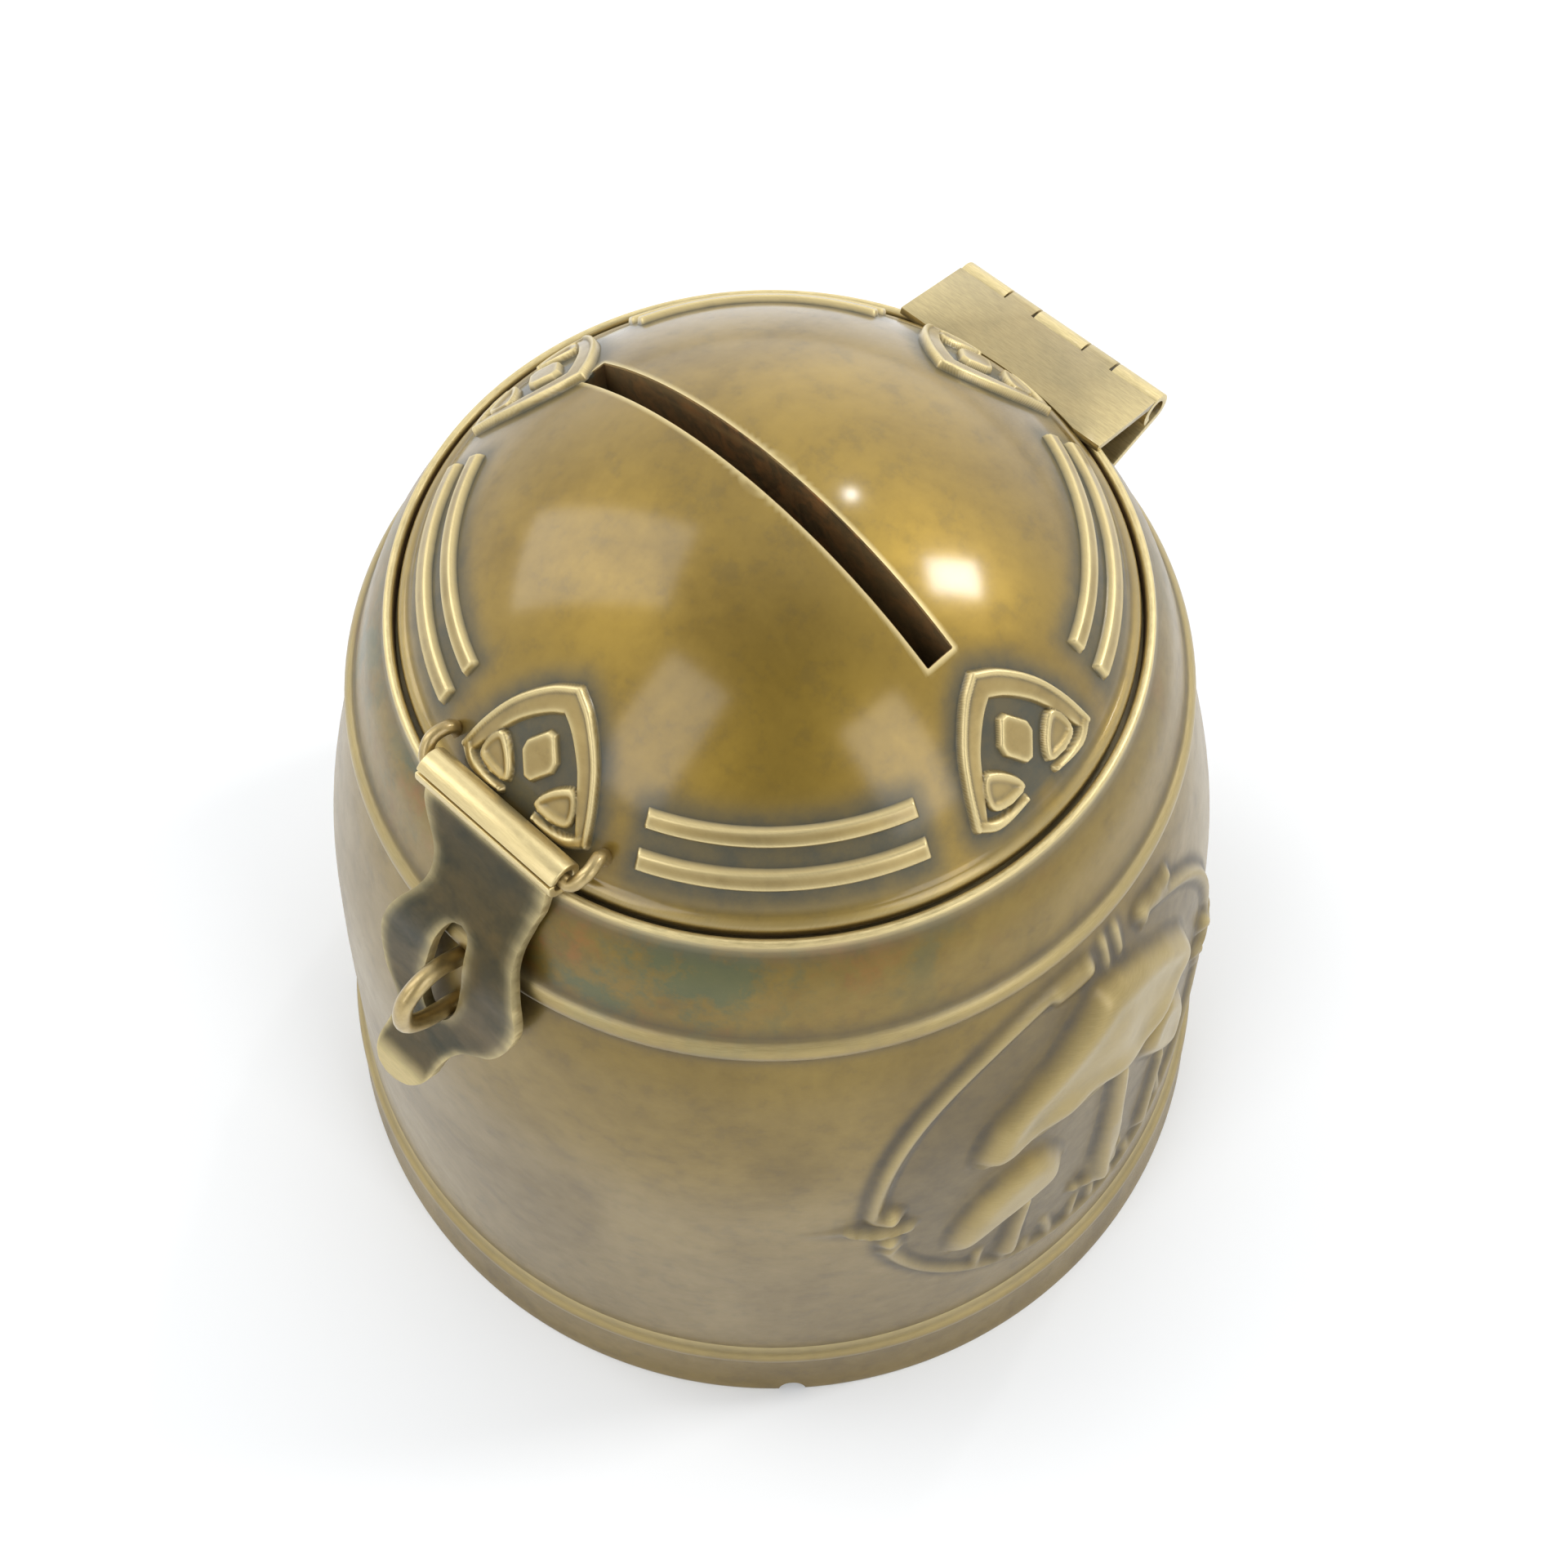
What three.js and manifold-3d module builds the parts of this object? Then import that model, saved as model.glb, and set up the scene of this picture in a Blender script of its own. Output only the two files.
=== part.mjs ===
// Art Nouveau money box of pressed brass: beehive body on a notched foot, domed hinged lid with a
// coin slot, and a swinging hasp that drops over a wire staple. Millimetres, +Z up, foot on z = 0,
// hasp towards -Y, hinge towards +Y, the two mushroom medallions towards +X and -X.
import * as THREE from 'three';
import { mergeVertices } from 'three/addons/utils/BufferGeometryUtils.js';
import Module from 'manifold-3d';

const wasm = await Module();
wasm.setup();

// ---- driving sizes -------------------------------------------------------------------------
const footR = 44.9;            // outer radius at the standing edge
const seatZ = 77.0;            // height of the mouth the lid sits in
const lidR = 28.1;             // radius of the lid's rolled edge
const domeRise = 15.4;         // crown of the lid above the mouth
const wall = 0.8;              // sheet thickness of every spun and pressed piece
const fitGap = 0.25;           // air kept between pieces that touch or are soldered
const slideGap = 0.4;          // clearance of the lid's collar in the mouth
const reliefH = 0.65;          // height of the stamped ornament on the lid
const beadR = 1.3;             // both round beads of the body
const coinLength = 36.0;       // coin slot, end to end
const coinWidth = 2.5;
const coinShift = -1.0;        // the slot is struck a little off the middle
const coinTurn = -3.0;         // and a little askew to the hinge, degrees
const notchR = 1.35;           // four small half-round nicks in the standing edge
const hingeHalf = 10.3;        // half the length of the hinge
const hingeReach = 7.1;        // hinge pin, out from the edge of the lid
const hingeDrop = 2.4;         // hinge pin below the mouth
const knuckleR = 1.5;
const pinR = 0.6;
const leafT = 0.8;             // hinge leaf thickness
const leafSlope = 20;          // how steeply the lid leaf climbs to the lid, degrees
const haspReach = 0.2;         // middle of the hasp's rolled barrel, out from the edge of the lid
const haspRise = 2.9;          // barrel centre above the mouth
const barrelR = 1.5;
const barrelHalf = 7.2;
const wireR = 0.65;            // bail and staple wire
const haspT = 0.9;             // hasp plate thickness
const lobeHalf = 7.6;          // widest half-width of the hasp plate
const neckHalf = 4.3;
const tabHalf = 2.7;
const medallionDrop = 4.5;     // top of the medallion, below the middle of the upper bead
const medallionLift = 7.0;     // foot of the medallion, above the foot joint
const medallionHalf = 21.4;    // half the width of the medallion

// ---- sizes that follow from them -----------------------------------------------------------
const domeR = (lidR * lidR + domeRise * domeRise) / (2 * domeRise);
const domeZ = seatZ + domeRise - domeR;
const mouthR = lidR + 0.65;
const ledgeR = lidR - 1.4;
const ledgeZ = seatZ - 1.2;
const lidEdgeZ = ledgeZ + fitGap;
const collarR = ledgeR - slideGap;
const upperBeadZ = seatZ - 9.7;
const upperBeadR = lidR + 4.7;
const jointZ = 10.6;
const jointR = footR - 1.85;
const spigotR = jointR - 0.95;
const plateZ = 3.9;
const hingeY = lidR + hingeReach;
const hingeZ = seatZ - hingeDrop;
const haspY = -(lidR + haspReach);
const haspZ = seatZ + haspRise;
const ROUND = 72;

// ---- helpers -------------------------------------------------------------------------------
const rad = THREE.MathUtils.degToRad;

function solid(geometry) {
  const bare = new THREE.BufferGeometry();
  bare.setAttribute('position', geometry.getAttribute('position'));
  if (geometry.index) bare.setIndex(geometry.index);
  const g = mergeVertices(bare, 1e-4);
  const p = g.getAttribute('position').array;
  const idx = Array.from(g.index.array);
  const tris = [];
  let vol = 0;
  for (let i = 0; i < idx.length; i += 3) {
    const [a, b, c] = [idx[i], idx[i + 1], idx[i + 2]];
    if (a === b || b === c || a === c) continue;
    tris.push(a, b, c);
    vol += new THREE.Vector3().fromArray(p, a * 3).dot(
      new THREE.Vector3().fromArray(p, b * 3).cross(new THREE.Vector3().fromArray(p, c * 3)));
  }
  if (vol < 0) tris.reverse();
  const mesh = new wasm.Mesh({
    numProp: 3,
    vertProperties: new Float32Array(p),
    triVerts: new Uint32Array(tris),
  });
  mesh.merge();
  return new wasm.Manifold(mesh);
}

function piece(name, body, colour, roughness) {
  const m = body.getMesh();
  const g = new THREE.BufferGeometry();
  g.setAttribute('position', new THREE.BufferAttribute(new Float32Array(m.vertProperties), 3));
  g.setIndex(new THREE.BufferAttribute(new Uint32Array(m.triVerts), 1));
  g.computeVertexNormals();
  const material = new THREE.MeshStandardMaterial({ color: colour, roughness, metalness: 1 });
  const mesh = new THREE.Mesh(g, material);
  mesh.name = name;
  return mesh;
}

// Turns a closed outline of [radius, height] points about the Z axis.
function turned(outline, segments = ROUND) {
  const pts = outline.map(([r, z]) => new THREE.Vector2(r, z));
  if (outline[0][0] > 0) pts.push(pts[0].clone());
  const g = new THREE.LatheGeometry(pts, segments);
  g.rotateX(Math.PI / 2);
  return solid(g);
}

function shapeOf(points) {
  return new THREE.Shape(points.map(([x, y]) => new THREE.Vector2(x, y)));
}

function upright(shape, z0, z1, curveSegments = 8) {
  const g = new THREE.ExtrudeGeometry(shape, { depth: z1 - z0, bevelEnabled: false, curveSegments });
  g.translate(0, 0, z0);
  return solid(g);
}

// Extrudes an outline drawn in (y, z) along X.
function alongX(shape, x0, x1, curveSegments = 8) {
  const g = new THREE.ExtrudeGeometry(shape, { depth: x1 - x0, bevelEnabled: false, curveSegments });
  const m = new THREE.Matrix4().set(0, 0, 1, x0, 1, 0, 0, 0, 0, 1, 0, 0, 0, 0, 0, 1);
  g.applyMatrix4(m);
  return solid(g);
}

// Extrudes an outline drawn in (x, z) along Y.
function alongY(shape, y0, y1, curveSegments = 8) {
  const g = new THREE.ExtrudeGeometry(shape, { depth: y1 - y0, bevelEnabled: false, curveSegments });
  const m = new THREE.Matrix4().set(1, 0, 0, 0, 0, 0, 1, y0, 0, 1, 0, 0, 0, 0, 0, 1);
  g.applyMatrix4(m);
  return solid(g);
}

function rodX(r, y, z, x0, x1, segments = 20) {
  const g = new THREE.CylinderGeometry(r, r, x1 - x0, segments);
  g.rotateZ(Math.PI / 2);
  g.translate((x0 + x1) / 2, y, z);
  return solid(g);
}

// Round wire along a smooth curve through the given points.
function wire(points, r, steps, sides = 5) {
  const path = new THREE.CatmullRomCurve3(points.map((p) => new THREE.Vector3(...p)), false, 'centripetal');
  const ring = new THREE.Shape();
  ring.absarc(0, 0, r, 0, Math.PI * 2, false);
  const options = { steps, extrudePath: path, bevelEnabled: false, curveSegments: sides };
  return solid(new THREE.ExtrudeGeometry(ring, options));
}

function arcPoints(cx, cy, r, a0, a1, n) {
  return Array.from({ length: n + 1 }, (_, i) => {
    const a = rad(a0 + (a1 - a0) * i / n);
    return [cx + r * Math.cos(a), cy + r * Math.sin(a)];
  });
}

function smooth(points, n) {
  const curve = new THREE.SplineCurve(points.map(([x, y]) => new THREE.Vector2(x, y)));
  return curve.getPoints(n).map((p) => [p.x, p.y]);
}

function quarterTurns(body, first = 0) {
  return [0, 1, 2, 3].map((k) => body.rotate([0, 0, first + 90 * k]));
}

// ---- body ----------------------------------------------------------------------------------
// Barrel side seen from outside, thickened or thinned by a constant radial offset.
function barrelSide(offset = 0, n = 9) {
  const top = upperBeadR + 0.6;
  const span = upperBeadZ - 1.5 - jointZ;
  const swell = jointR - top;
  const at = (down, grown) => [top + swell * grown + offset, jointZ + span * (1 - down)];
  return smooth([at(0, 0), at(0.11, 0.24), at(0.31, 0.54), at(0.52, 0.71), at(0.73, 0.84), at(1, 1)], n);
}

// Radius of the barrel's skin at a height.
function barrelAt(z) {
  const side = barrelSide(0, 40);
  const i = side.findIndex(([, h]) => h <= z);
  const [[r0, z0], [r1, z1]] = [side[Math.max(i - 1, 0)], side[Math.max(i, 1)]];
  return r0 + (r1 - r0) * (z0 - z) / (z0 - z1);
}

function bodyOutside() {
  const rim = arcPoints(mouthR + 0.4, seatZ, 0.4, 180, 20, 3);
  const shoulder = smooth([
    [mouthR + 0.85, seatZ - 0.4],
    [mouthR + 2.6, seatZ - 3.5],
    [upperBeadR - 0.1, upperBeadZ + 2.4],
  ], 4);
  const bead = arcPoints(upperBeadR, upperBeadZ, beadR, 75, -60, 5);
  return [...rim, ...shoulder, ...bead, ...barrelSide()];
}

function bodyInside() {
  const barrel = barrelSide(-wall, 6).reverse();
  return [
    [spigotR, jointZ - 0.2],
    [spigotR, plateZ + wall + fitGap],
    [spigotR - wall, plateZ + wall + fitGap],
    [spigotR - wall, jointZ + 0.6],
    ...barrel,
    [upperBeadR - 0.7, upperBeadZ + 1.6],
    [mouthR + 1.7, seatZ - 3.8],
    [mouthR, ledgeZ - wall],
    [ledgeR, ledgeZ - wall],
    [ledgeR, ledgeZ],
    [mouthR, ledgeZ],
  ];
}

// Cap of a toadstool, drawn in (y, z), tipped about the middle of its rim.
function toadstoolCap(y, z, half, high, tip) {
  const s = new THREE.Shape();
  const c = Math.cos(rad(tip));
  const k = Math.sin(rad(tip));
  const at = (u, v) => [y + u * c - v * k, z + u * k + v * c];
  const rise = high * 1.25;
  s.moveTo(...at(-half, 0));
  s.bezierCurveTo(...at(-half * 0.8, rise), ...at(half * 0.8, rise), ...at(half, 0));
  s.bezierCurveTo(...at(half * 0.6, high * 0.24), ...at(-half * 0.6, high * 0.24), ...at(-half, 0));
  return s;
}

function toadstoolStem(y, zTop, zFoot, wTop, wFoot, lean) {
  const s = new THREE.Shape();
  const mid = (zTop + zFoot) / 2;
  s.moveTo(y - wTop, zTop);
  s.quadraticCurveTo(y - wTop, mid, y + lean - wFoot, zFoot);
  s.lineTo(y + lean + wFoot, zFoot);
  s.quadraticCurveTo(y + wTop, mid, y + wTop, zTop);
  return s;
}

function ovalRibbon(z, halfY, halfZ, width) {
  const s = new THREE.Shape();
  s.absellipse(0, z, halfY, halfZ, 0, Math.PI * 2, false);
  const hole = new THREE.Path();
  hole.absellipse(0, z, halfY - width, halfZ - width, 0, Math.PI * 2, true);
  s.holes.push(hole);
  return s;
}

// One medallion as it stands out of the +X side of the barrel.
function medallion() {
  const topZ = upperBeadZ - medallionDrop;
  const footZ = jointZ + medallionLift;
  const midZ = (topZ + footZ) / 2;
  const halfZ = (topZ - footZ) / 2;
  const tall = halfZ / 22.6;
  const up = (z) => midZ + z * tall;
  const skin = (h) => {
    const outer = barrelSide(h);
    const inner = barrelSide(-wall / 2, 6).reverse();
    return turned([...outer, ...inner]);
  };
  const low = skin(0.6);
  const high = skin(1.1);
  const press = (shape, layer, n = 6) => alongX(shape, upperBeadR / 2, footR + 5, n).intersect(layer);
  const parts = [
    press(ovalRibbon(midZ, medallionHalf, halfZ, 1.7), low, 14),
    press(toadstoolCap(0.2, up(6.3), 14, 13.2 * tall, 0), high),
    press(toadstoolStem(1.2, up(9.3), footZ + 2, 1.3, 3.2, 0.8), low),
    press(toadstoolCap(-10, up(-6.6), 6.8, 9.6 * tall, 24), high),
    press(toadstoolStem(-9, up(-4.7), footZ + 4.6, 1.2, 1.9, -1.0), low),
    press(toadstoolCap(10, up(-3.0), 4.1, 6.6 * tall, -10), low),
    press(toadstoolStem(9.6, up(-0.7), footZ + 3.4, 0.8, 1.5, -0.9), low),
  ];
  for (const side of [-1, 1]) parts.push(...ribbonTie(side, midZ - 1, (shape) => press(shape, high, 5)));
  for (const [y, w, drop] of [[-4.6, 1.7, 0], [-1.3, 0.55, -0.5], [1.3, 0.55, -0.5], [4.6, 1.7, 0]]) {
    const z = topZ - 2.6 + drop;
    parts.push(press(shapeOf([[y - w, z], [y + w, z], [y + w, z + 1.6], [y - w, z + 1.6]]), low));
  }
  return parts;
}

// Two curls and the bar between them, where the ribbon is tied at one side.
function ribbonTie(side, z, press) {
  const y = side * (medallionHalf - 2.0);
  const curls = [-3.9, 3.0].map((dz) => press(new THREE.Shape().absarc(y, z + dz, 1.35, 0, Math.PI * 2, false)));
  const bar = [[-2.6, -0.7], [2.4, -0.5], [2.4, 0.5], [-2.6, 0.7]];
  const tie = shapeOf(bar.map(([u, v]) => [side * (medallionHalf - 0.8 - u), z - 0.4 + v]));
  return [...curls, press(tie)];
}

// The staple's wire springs from the barrel under the bead and goes back through it lower down.
function staplePath() {
  const y = -(upperBeadR + 0.6);
  const z = upperBeadZ;
  return [
    [0, y + 1.8, z - 3.4],
    [0, y - 0.6, z - 1.9],
    [0, y - 3.6, z - 0.4],
    [0, y - 6.4, z - 1.1],
    [0, y - 7.2, z - 4.0],
    [0, y - 5.6, z - 6.3],
    [0, -barrelAt(z - 8.0), z - 8.0],
    [0, -barrelAt(z - 9.0) + 2.3, z - 9.0],
  ];
}

function bodyShell() {
  const shell = turned([...bodyOutside(), ...bodyInside()]);
  const relief = medallion();
  const both = [...relief, ...relief.map((p) => p.rotate([0, 0, 180]))];
  const drilled = wire(staplePath(), wireR + fitGap, 26);
  return shell.add(wasm.Manifold.union(both)).subtract(drilled);
}

// ---- foot and bottom -----------------------------------------------------------------------
function footRing() {
  const beadZ = jointZ - 2.0;
  const inner = spigotR + fitGap;
  const ring = turned([
    [inner, jointZ - fitGap],
    [jointR - 0.1, jointZ - fitGap],
    ...arcPoints(footR - 2.2, beadZ, beadR, 60, -65, 5),
    [footR - 1.55, beadZ - 1.9],
    [footR - 0.7, 3.0],
    [footR, 0.45],
    [footR - 0.3, 0],
    [footR - 1.1, 0],
    [footR - 1.5, 3.0],
    [footR - 2.35, beadZ - 2.1],
    [inner, beadZ - 1.7],
  ]);
  const nick = rodX(notchR, 0, 0, footR - 6, footR + 3, 16);
  return ring.subtract(wasm.Manifold.union(quarterTurns(nick, 45)));
}

function bottomPlate() {
  const r = footR - 2.15;
  return turned([
    [0, plateZ + wall],
    [r - 0.4, plateZ + wall],
    [r, plateZ + wall / 2],
    [r - 0.2, plateZ],
    [0, plateZ],
  ]);
}

// ---- lid -----------------------------------------------------------------------------------
function domeArc(radius, rEnd, n) {
  const a = Math.asin(rEnd / radius);
  return Array.from({ length: n + 1 }, (_, i) => {
    const t = a * i / n;
    return [i === 0 ? 0 : radius * Math.sin(t), domeZ + radius * Math.cos(t)];
  });
}

// Chevron shield of the lid, pointing to the crown along +X. Places are given inward from the lid's edge.
function shieldFrame() {
  const s = new THREE.Shape();
  const apex = lidR - 9.5;
  const band = 1.55;
  const tip = [lidR - 2.7, 6.6];
  const side = [
    [[apex + 2.2, 4.9], tip],
    [[lidR - 1.8, 3.6], [lidR - 1.7, 1.1]],
    [[lidR - 3.5, 1.8], [lidR - 5.1, 3.7]],
    [[lidR - 6.5, 2.9], [apex + band, 0]],
  ];
  s.moveTo(apex, 0);
  side.forEach(([pull, end]) => s.quadraticCurveTo(...pull, ...end));
  const ends = [[apex, 0], ...side.map(([, end]) => end)];
  for (let i = side.length - 1; i >= 0; i--) {
    const [pull, end] = [side[i][0], ends[i]];
    s.quadraticCurveTo(pull[0], -pull[1], end[0], -end[1]);
  }
  return s;
}

function shieldLeaf(side) {
  return shapeOf([[4.3, 3.9], [3.2, 4.9], [2.6, 2.7]].map(([inset, y]) => [lidR - inset, y * side]));
}

function lidOrnament() {
  const skin = turned([
    ...domeArc(domeR + reliefH, lidR - 0.7, 10),
    ...domeArc(domeR - wall / 2, lidR - 1.1, 6).reverse(),
  ]);
  const top = domeZ + domeR + 2;
  const press = (shape, n = 6) => upright(shape, seatZ - 2, top, n).intersect(skin);
  const boss = shapeOf([[6.3, 0], [4.9, -1.45], [3.5, 0], [4.9, 1.45]].map(([inset, y]) => [lidR - inset, y]));
  const shield = press(shieldFrame())
    .subtract(upright(shieldLeaf(1), seatZ - 3, top + 1).subtract(ball(domeR + reliefH / 2)))
    .subtract(upright(shieldLeaf(-1), seatZ - 3, top + 1).subtract(ball(domeR + reliefH / 2)));
  const parts = [...quarterTurns(shield), ...quarterTurns(press(boss))];
  const sweep = 23.5;
  for (const r of [lidR - 5.15, lidR - 3.05]) {
    const bar = shapeOf([
      ...arcPoints(0, 0, r + 1.05, -sweep, sweep, 10),
      ...arcPoints(0, 0, r, sweep, -sweep, 10),
    ]);
    parts.push(...quarterTurns(press(bar), 45));
  }
  return wasm.Manifold.union(parts);
}

function ball(r) {
  return turned([...domeArc(r, r * 0.95, 16), [0, domeZ]]);
}

function coinSlot() {
  const half = coinLength / 2;
  const w = coinWidth / 2;
  return upright(shapeOf([[-half, -w], [half, -w], [half, w], [-half, w]]), seatZ + 2, seatZ + 30)
    .rotate([0, 0, coinTurn])
    .translate([coinShift, 0, 0]);
}

function bailPath() {
  const x = barrelHalf + 0.55;
  const y = haspY;
  const z = haspZ;
  return [
    [-x - 0.1, y + 3.5, z - 2.4],
    [-x - 0.15, y + 3.0, z + 0.5],
    [-x - 0.45, y + 1.3, z + 0.75],
    [-x + 0.1, y + 0.1, z],
    [-x + 1.2, y, z],
    [0, y, z],
    [x - 1.2, y, z],
    [x - 0.1, y + 0.1, z],
    [x + 0.45, y + 1.3, z + 0.75],
    [x + 0.15, y + 3.0, z + 0.5],
    [x + 0.1, y + 3.5, z - 2.4],
  ];
}

function lidShell() {
  const inner = domeR - wall;
  const shell = turned([
    ...domeArc(domeR, lidR - 0.8, 10),
    [lidR - 0.15, seatZ + 0.55],
    [lidR, seatZ],
    [lidR - 0.1, lidEdgeZ + 0.2],
    [lidR - 0.35, lidEdgeZ],
    [lidR - 1.3, lidEdgeZ],
    ...domeArc(inner, lidR - 1.5, 7).reverse(),
  ]);
  return shell.add(lidOrnament()).subtract(coinSlot()).subtract(wire(bailPath(), wireR + fitGap, 40));
}

function lidCollar() {
  const inside = (r) => domeZ + Math.sqrt((domeR - wall) ** 2 - r * r) - 0.35;
  return turned([
    [collarR, inside(collarR)],
    [collarR, seatZ - 4.2],
    [collarR - 0.25, seatZ - 4.5],
    [collarR - 0.7, seatZ - 4.5],
    [collarR - 0.7, inside(collarR - 0.7)],
  ]).subtract(wire(bailPath(), wireR + fitGap, 40));
}

// ---- hinge ---------------------------------------------------------------------------------
const endKnuckle = 4.6;
const midKnuckle = 2.5;
const knuckleGap = 0.2;

function bodyKnuckleSpans() {
  return [
    [-hingeHalf, -hingeHalf + endKnuckle],
    [-midKnuckle, midKnuckle],
    [hingeHalf - endKnuckle, hingeHalf],
  ];
}

function lidKnuckleSpans() {
  return [
    [-hingeHalf + endKnuckle + knuckleGap, -midKnuckle - knuckleGap],
    [midKnuckle + knuckleGap, hingeHalf - endKnuckle - knuckleGap],
  ];
}

// A hinge leaf: a flat plate meeting the knuckles at a tangent, drawn in (y, z).
function leafPlate(slope, reach, above) {
  const a = rad(slope);
  const u = [-Math.cos(a), above * Math.sin(a)];
  const n = [u[1] * -above, u[0] * above].map((v) => -v);
  const at = (s, t) => [hingeY + u[0] * s + n[0] * t, hingeZ + u[1] * s + n[1] * t];
  const outline = [at(0, knuckleR - leafT), at(reach, knuckleR - leafT), at(reach, knuckleR), at(0, knuckleR)];
  return alongX(shapeOf(outline), -hingeHalf, hingeHalf);
}

function knuckles(spans, grow) {
  return wasm.Manifold.union(spans.map(([a, b]) => rodX(knuckleR + grow, hingeY, hingeZ, a - grow, b + grow)));
}

function hingeLidLeaf() {
  const plate = leafPlate(leafSlope, 9.4, 1);
  const lidSide = turned([
    ...domeArc(domeR + fitGap, lidR - 0.6, 12),
    [lidR + fitGap, seatZ + 0.6],
    [lidR + fitGap, seatZ - 4],
    [0, seatZ - 4],
  ]);
  const edge = new THREE.Shape().absarc(0, 0, lidR - 1.2, 0, Math.PI * 2, false);
  const inward = upright(edge, seatZ - 5, seatZ + 9, 32);
  const body = plate.add(knuckles(lidKnuckleSpans(), 0));
  return body
    .subtract(lidSide)
    .subtract(inward)
    .subtract(knuckles(bodyKnuckleSpans(), knuckleGap))
    .subtract(rodX(pinR + fitGap, hingeY, hingeZ, -hingeHalf - 1, hingeHalf + 1));
}

function hingeBodyLeaf() {
  const plate = leafPlate(15, 7, -1);
  const core = turned([[0, seatZ + 0.4], ...bodyOutside().map(([r, z]) => [r + fitGap, z]), [0, jointZ]]);
  const body = plate.add(knuckles(bodyKnuckleSpans(), 0));
  return body
    .subtract(core)
    .subtract(knuckles(lidKnuckleSpans(), knuckleGap))
    .subtract(rodX(pinR + fitGap, hingeY, hingeZ, -hingeHalf - 1, hingeHalf + 1));
}

function hingePin() {
  return rodX(pinR, hingeY, hingeZ, -hingeHalf + 0.15, hingeHalf - 0.15, 16);
}

// ---- hasp ----------------------------------------------------------------------------------
// Run of the plate from the barrel over the upper bead and down past the staple, in (y, z). Under the
// bead it keeps its stand-off from the barrel.
function haspRun() {
  const y = haspY;
  const z = haspZ;
  const clear = (drop, standOff) => [-barrelAt(z - drop) - standOff, z - drop];
  return smooth([
    [y - 0.95, z - 0.3],
    [y - 2.6, z - 4.2],
    [y - 6.2, z - 10.6],
    [-upperBeadR - 2.9, z - 14.8],
    clear(19.6, 1.5),
    clear(25.0, 1.98),
    clear(31.4, 3.28),
  ], 18);
}

function haspSlab() {
  const run = haspRun();
  const last = run.length - 1;
  const left = [];
  const right = [];
  run.forEach(([y, z], i) => {
    const [y0, z0] = run[Math.max(i - 1, 0)];
    const [y1, z1] = run[Math.min(i + 1, last)];
    const len = Math.hypot(y1 - y0, z1 - z0);
    const swell = i > last - 3 ? 0.22 * (i - last + 3) : 0;
    const t = haspT / 2 + swell;
    const n = [(z1 - z0) / len * t, -(y1 - y0) / len * t];
    left.push([y + n[0], z + n[1]]);
    right.push([y - n[0], z - n[1]]);
  });
  return alongX(shapeOf([...left, ...right.reverse()]), -lobeHalf - 2, lobeHalf + 2);
}

function haspOutline() {
  const z = haspZ;
  const s = new THREE.Shape();
  const half = (k) => {
    const side = [
      [neckHalf + 1.6, z - 0.4],
      [neckHalf + 0.2, z - 2.0],
      [neckHalf, z - 4.6],
      [neckHalf + 1.1, z - 7.6],
      [lobeHalf - 0.3, z - 9.6],
      [lobeHalf, z - 12.2],
      [lobeHalf - 0.7, z - 15.2],
      [neckHalf + 1.2, z - 17.8],
      [tabHalf + 1.2, z - 20.4],
      [tabHalf + 0.2, z - 23.6],
      [tabHalf, z - 27.5],
      [tabHalf, z - 30.0],
      [tabHalf * 0.55, z - 31.9],
    ];
    return smooth(side.map(([x, h]) => [x * k, h]), 30);
  };
  const points = [...half(1), ...half(-1).reverse()];
  points.forEach(([x, h], i) => (i ? s.lineTo(x, h) : s.moveTo(x, h)));
  s.closePath();
  return s;
}

function haspEye() {
  const z = haspZ;
  const s = new THREE.Shape();
  s.moveTo(0, z - 8.2);
  s.bezierCurveTo(1.6, z - 8.2, 2.1, z - 10.5, 2.2, z - 13.5);
  s.bezierCurveTo(2.5, z - 18.5, 2.2, z - 21.4, 0, z - 21.6);
  s.bezierCurveTo(-2.2, z - 21.4, -2.5, z - 18.5, -2.2, z - 13.5);
  s.bezierCurveTo(-2.1, z - 10.5, -1.6, z - 8.2, 0, z - 8.2);
  return s;
}

function hasp() {
  const plate = haspSlab().intersect(alongY(haspOutline(), -footR - 15, -lidR / 2)).subtract(alongY(haspEye(), -footR - 15, -lidR / 2, 6));
  const barrel = rodX(barrelR, haspY, haspZ, -barrelHalf, barrelHalf, 24);
  const bore = rodX(wireR + fitGap, haspY, haspZ, -barrelHalf - 1, barrelHalf + 1, 16);
  const seam = alongX(shapeOf([[-0.12, 0], [0.12, 0], [0.12, 2], [-0.12, 2]]), -barrelHalf - 1, barrelHalf + 1)
    .rotate([62, 0, 0])
    .translate([0, haspY, haspZ]);
  return plate.add(barrel).subtract(bore).subtract(seam);
}

// ---- the box -------------------------------------------------------------------------------
const brass = 0xb08d45;
const worn = 0xc6a860;
const dull = 0x8c7a4c;

const box = new THREE.Group();
box.name = 'money_box';
box.add(
  piece('body_shell', bodyShell(), brass, 0.36),
  piece('foot_ring', footRing(), brass, 0.38),
  piece('bottom_plate', bottomPlate(), dull, 0.5),
  piece('lid_shell', lidShell(), brass, 0.32),
  piece('lid_collar', lidCollar(), dull, 0.45),
  piece('hinge_lid_leaf', hingeLidLeaf(), worn, 0.38),
  piece('hinge_body_leaf', hingeBodyLeaf(), worn, 0.4),
  piece('hinge_pin', hingePin(), dull, 0.45),
  piece('hasp', hasp(), worn, 0.34),
  piece('hasp_bail', wire(bailPath(), wireR, 40), worn, 0.38),
  piece('staple', wire(staplePath(), wireR, 26), worn, 0.38),
);

export default box;
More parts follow.
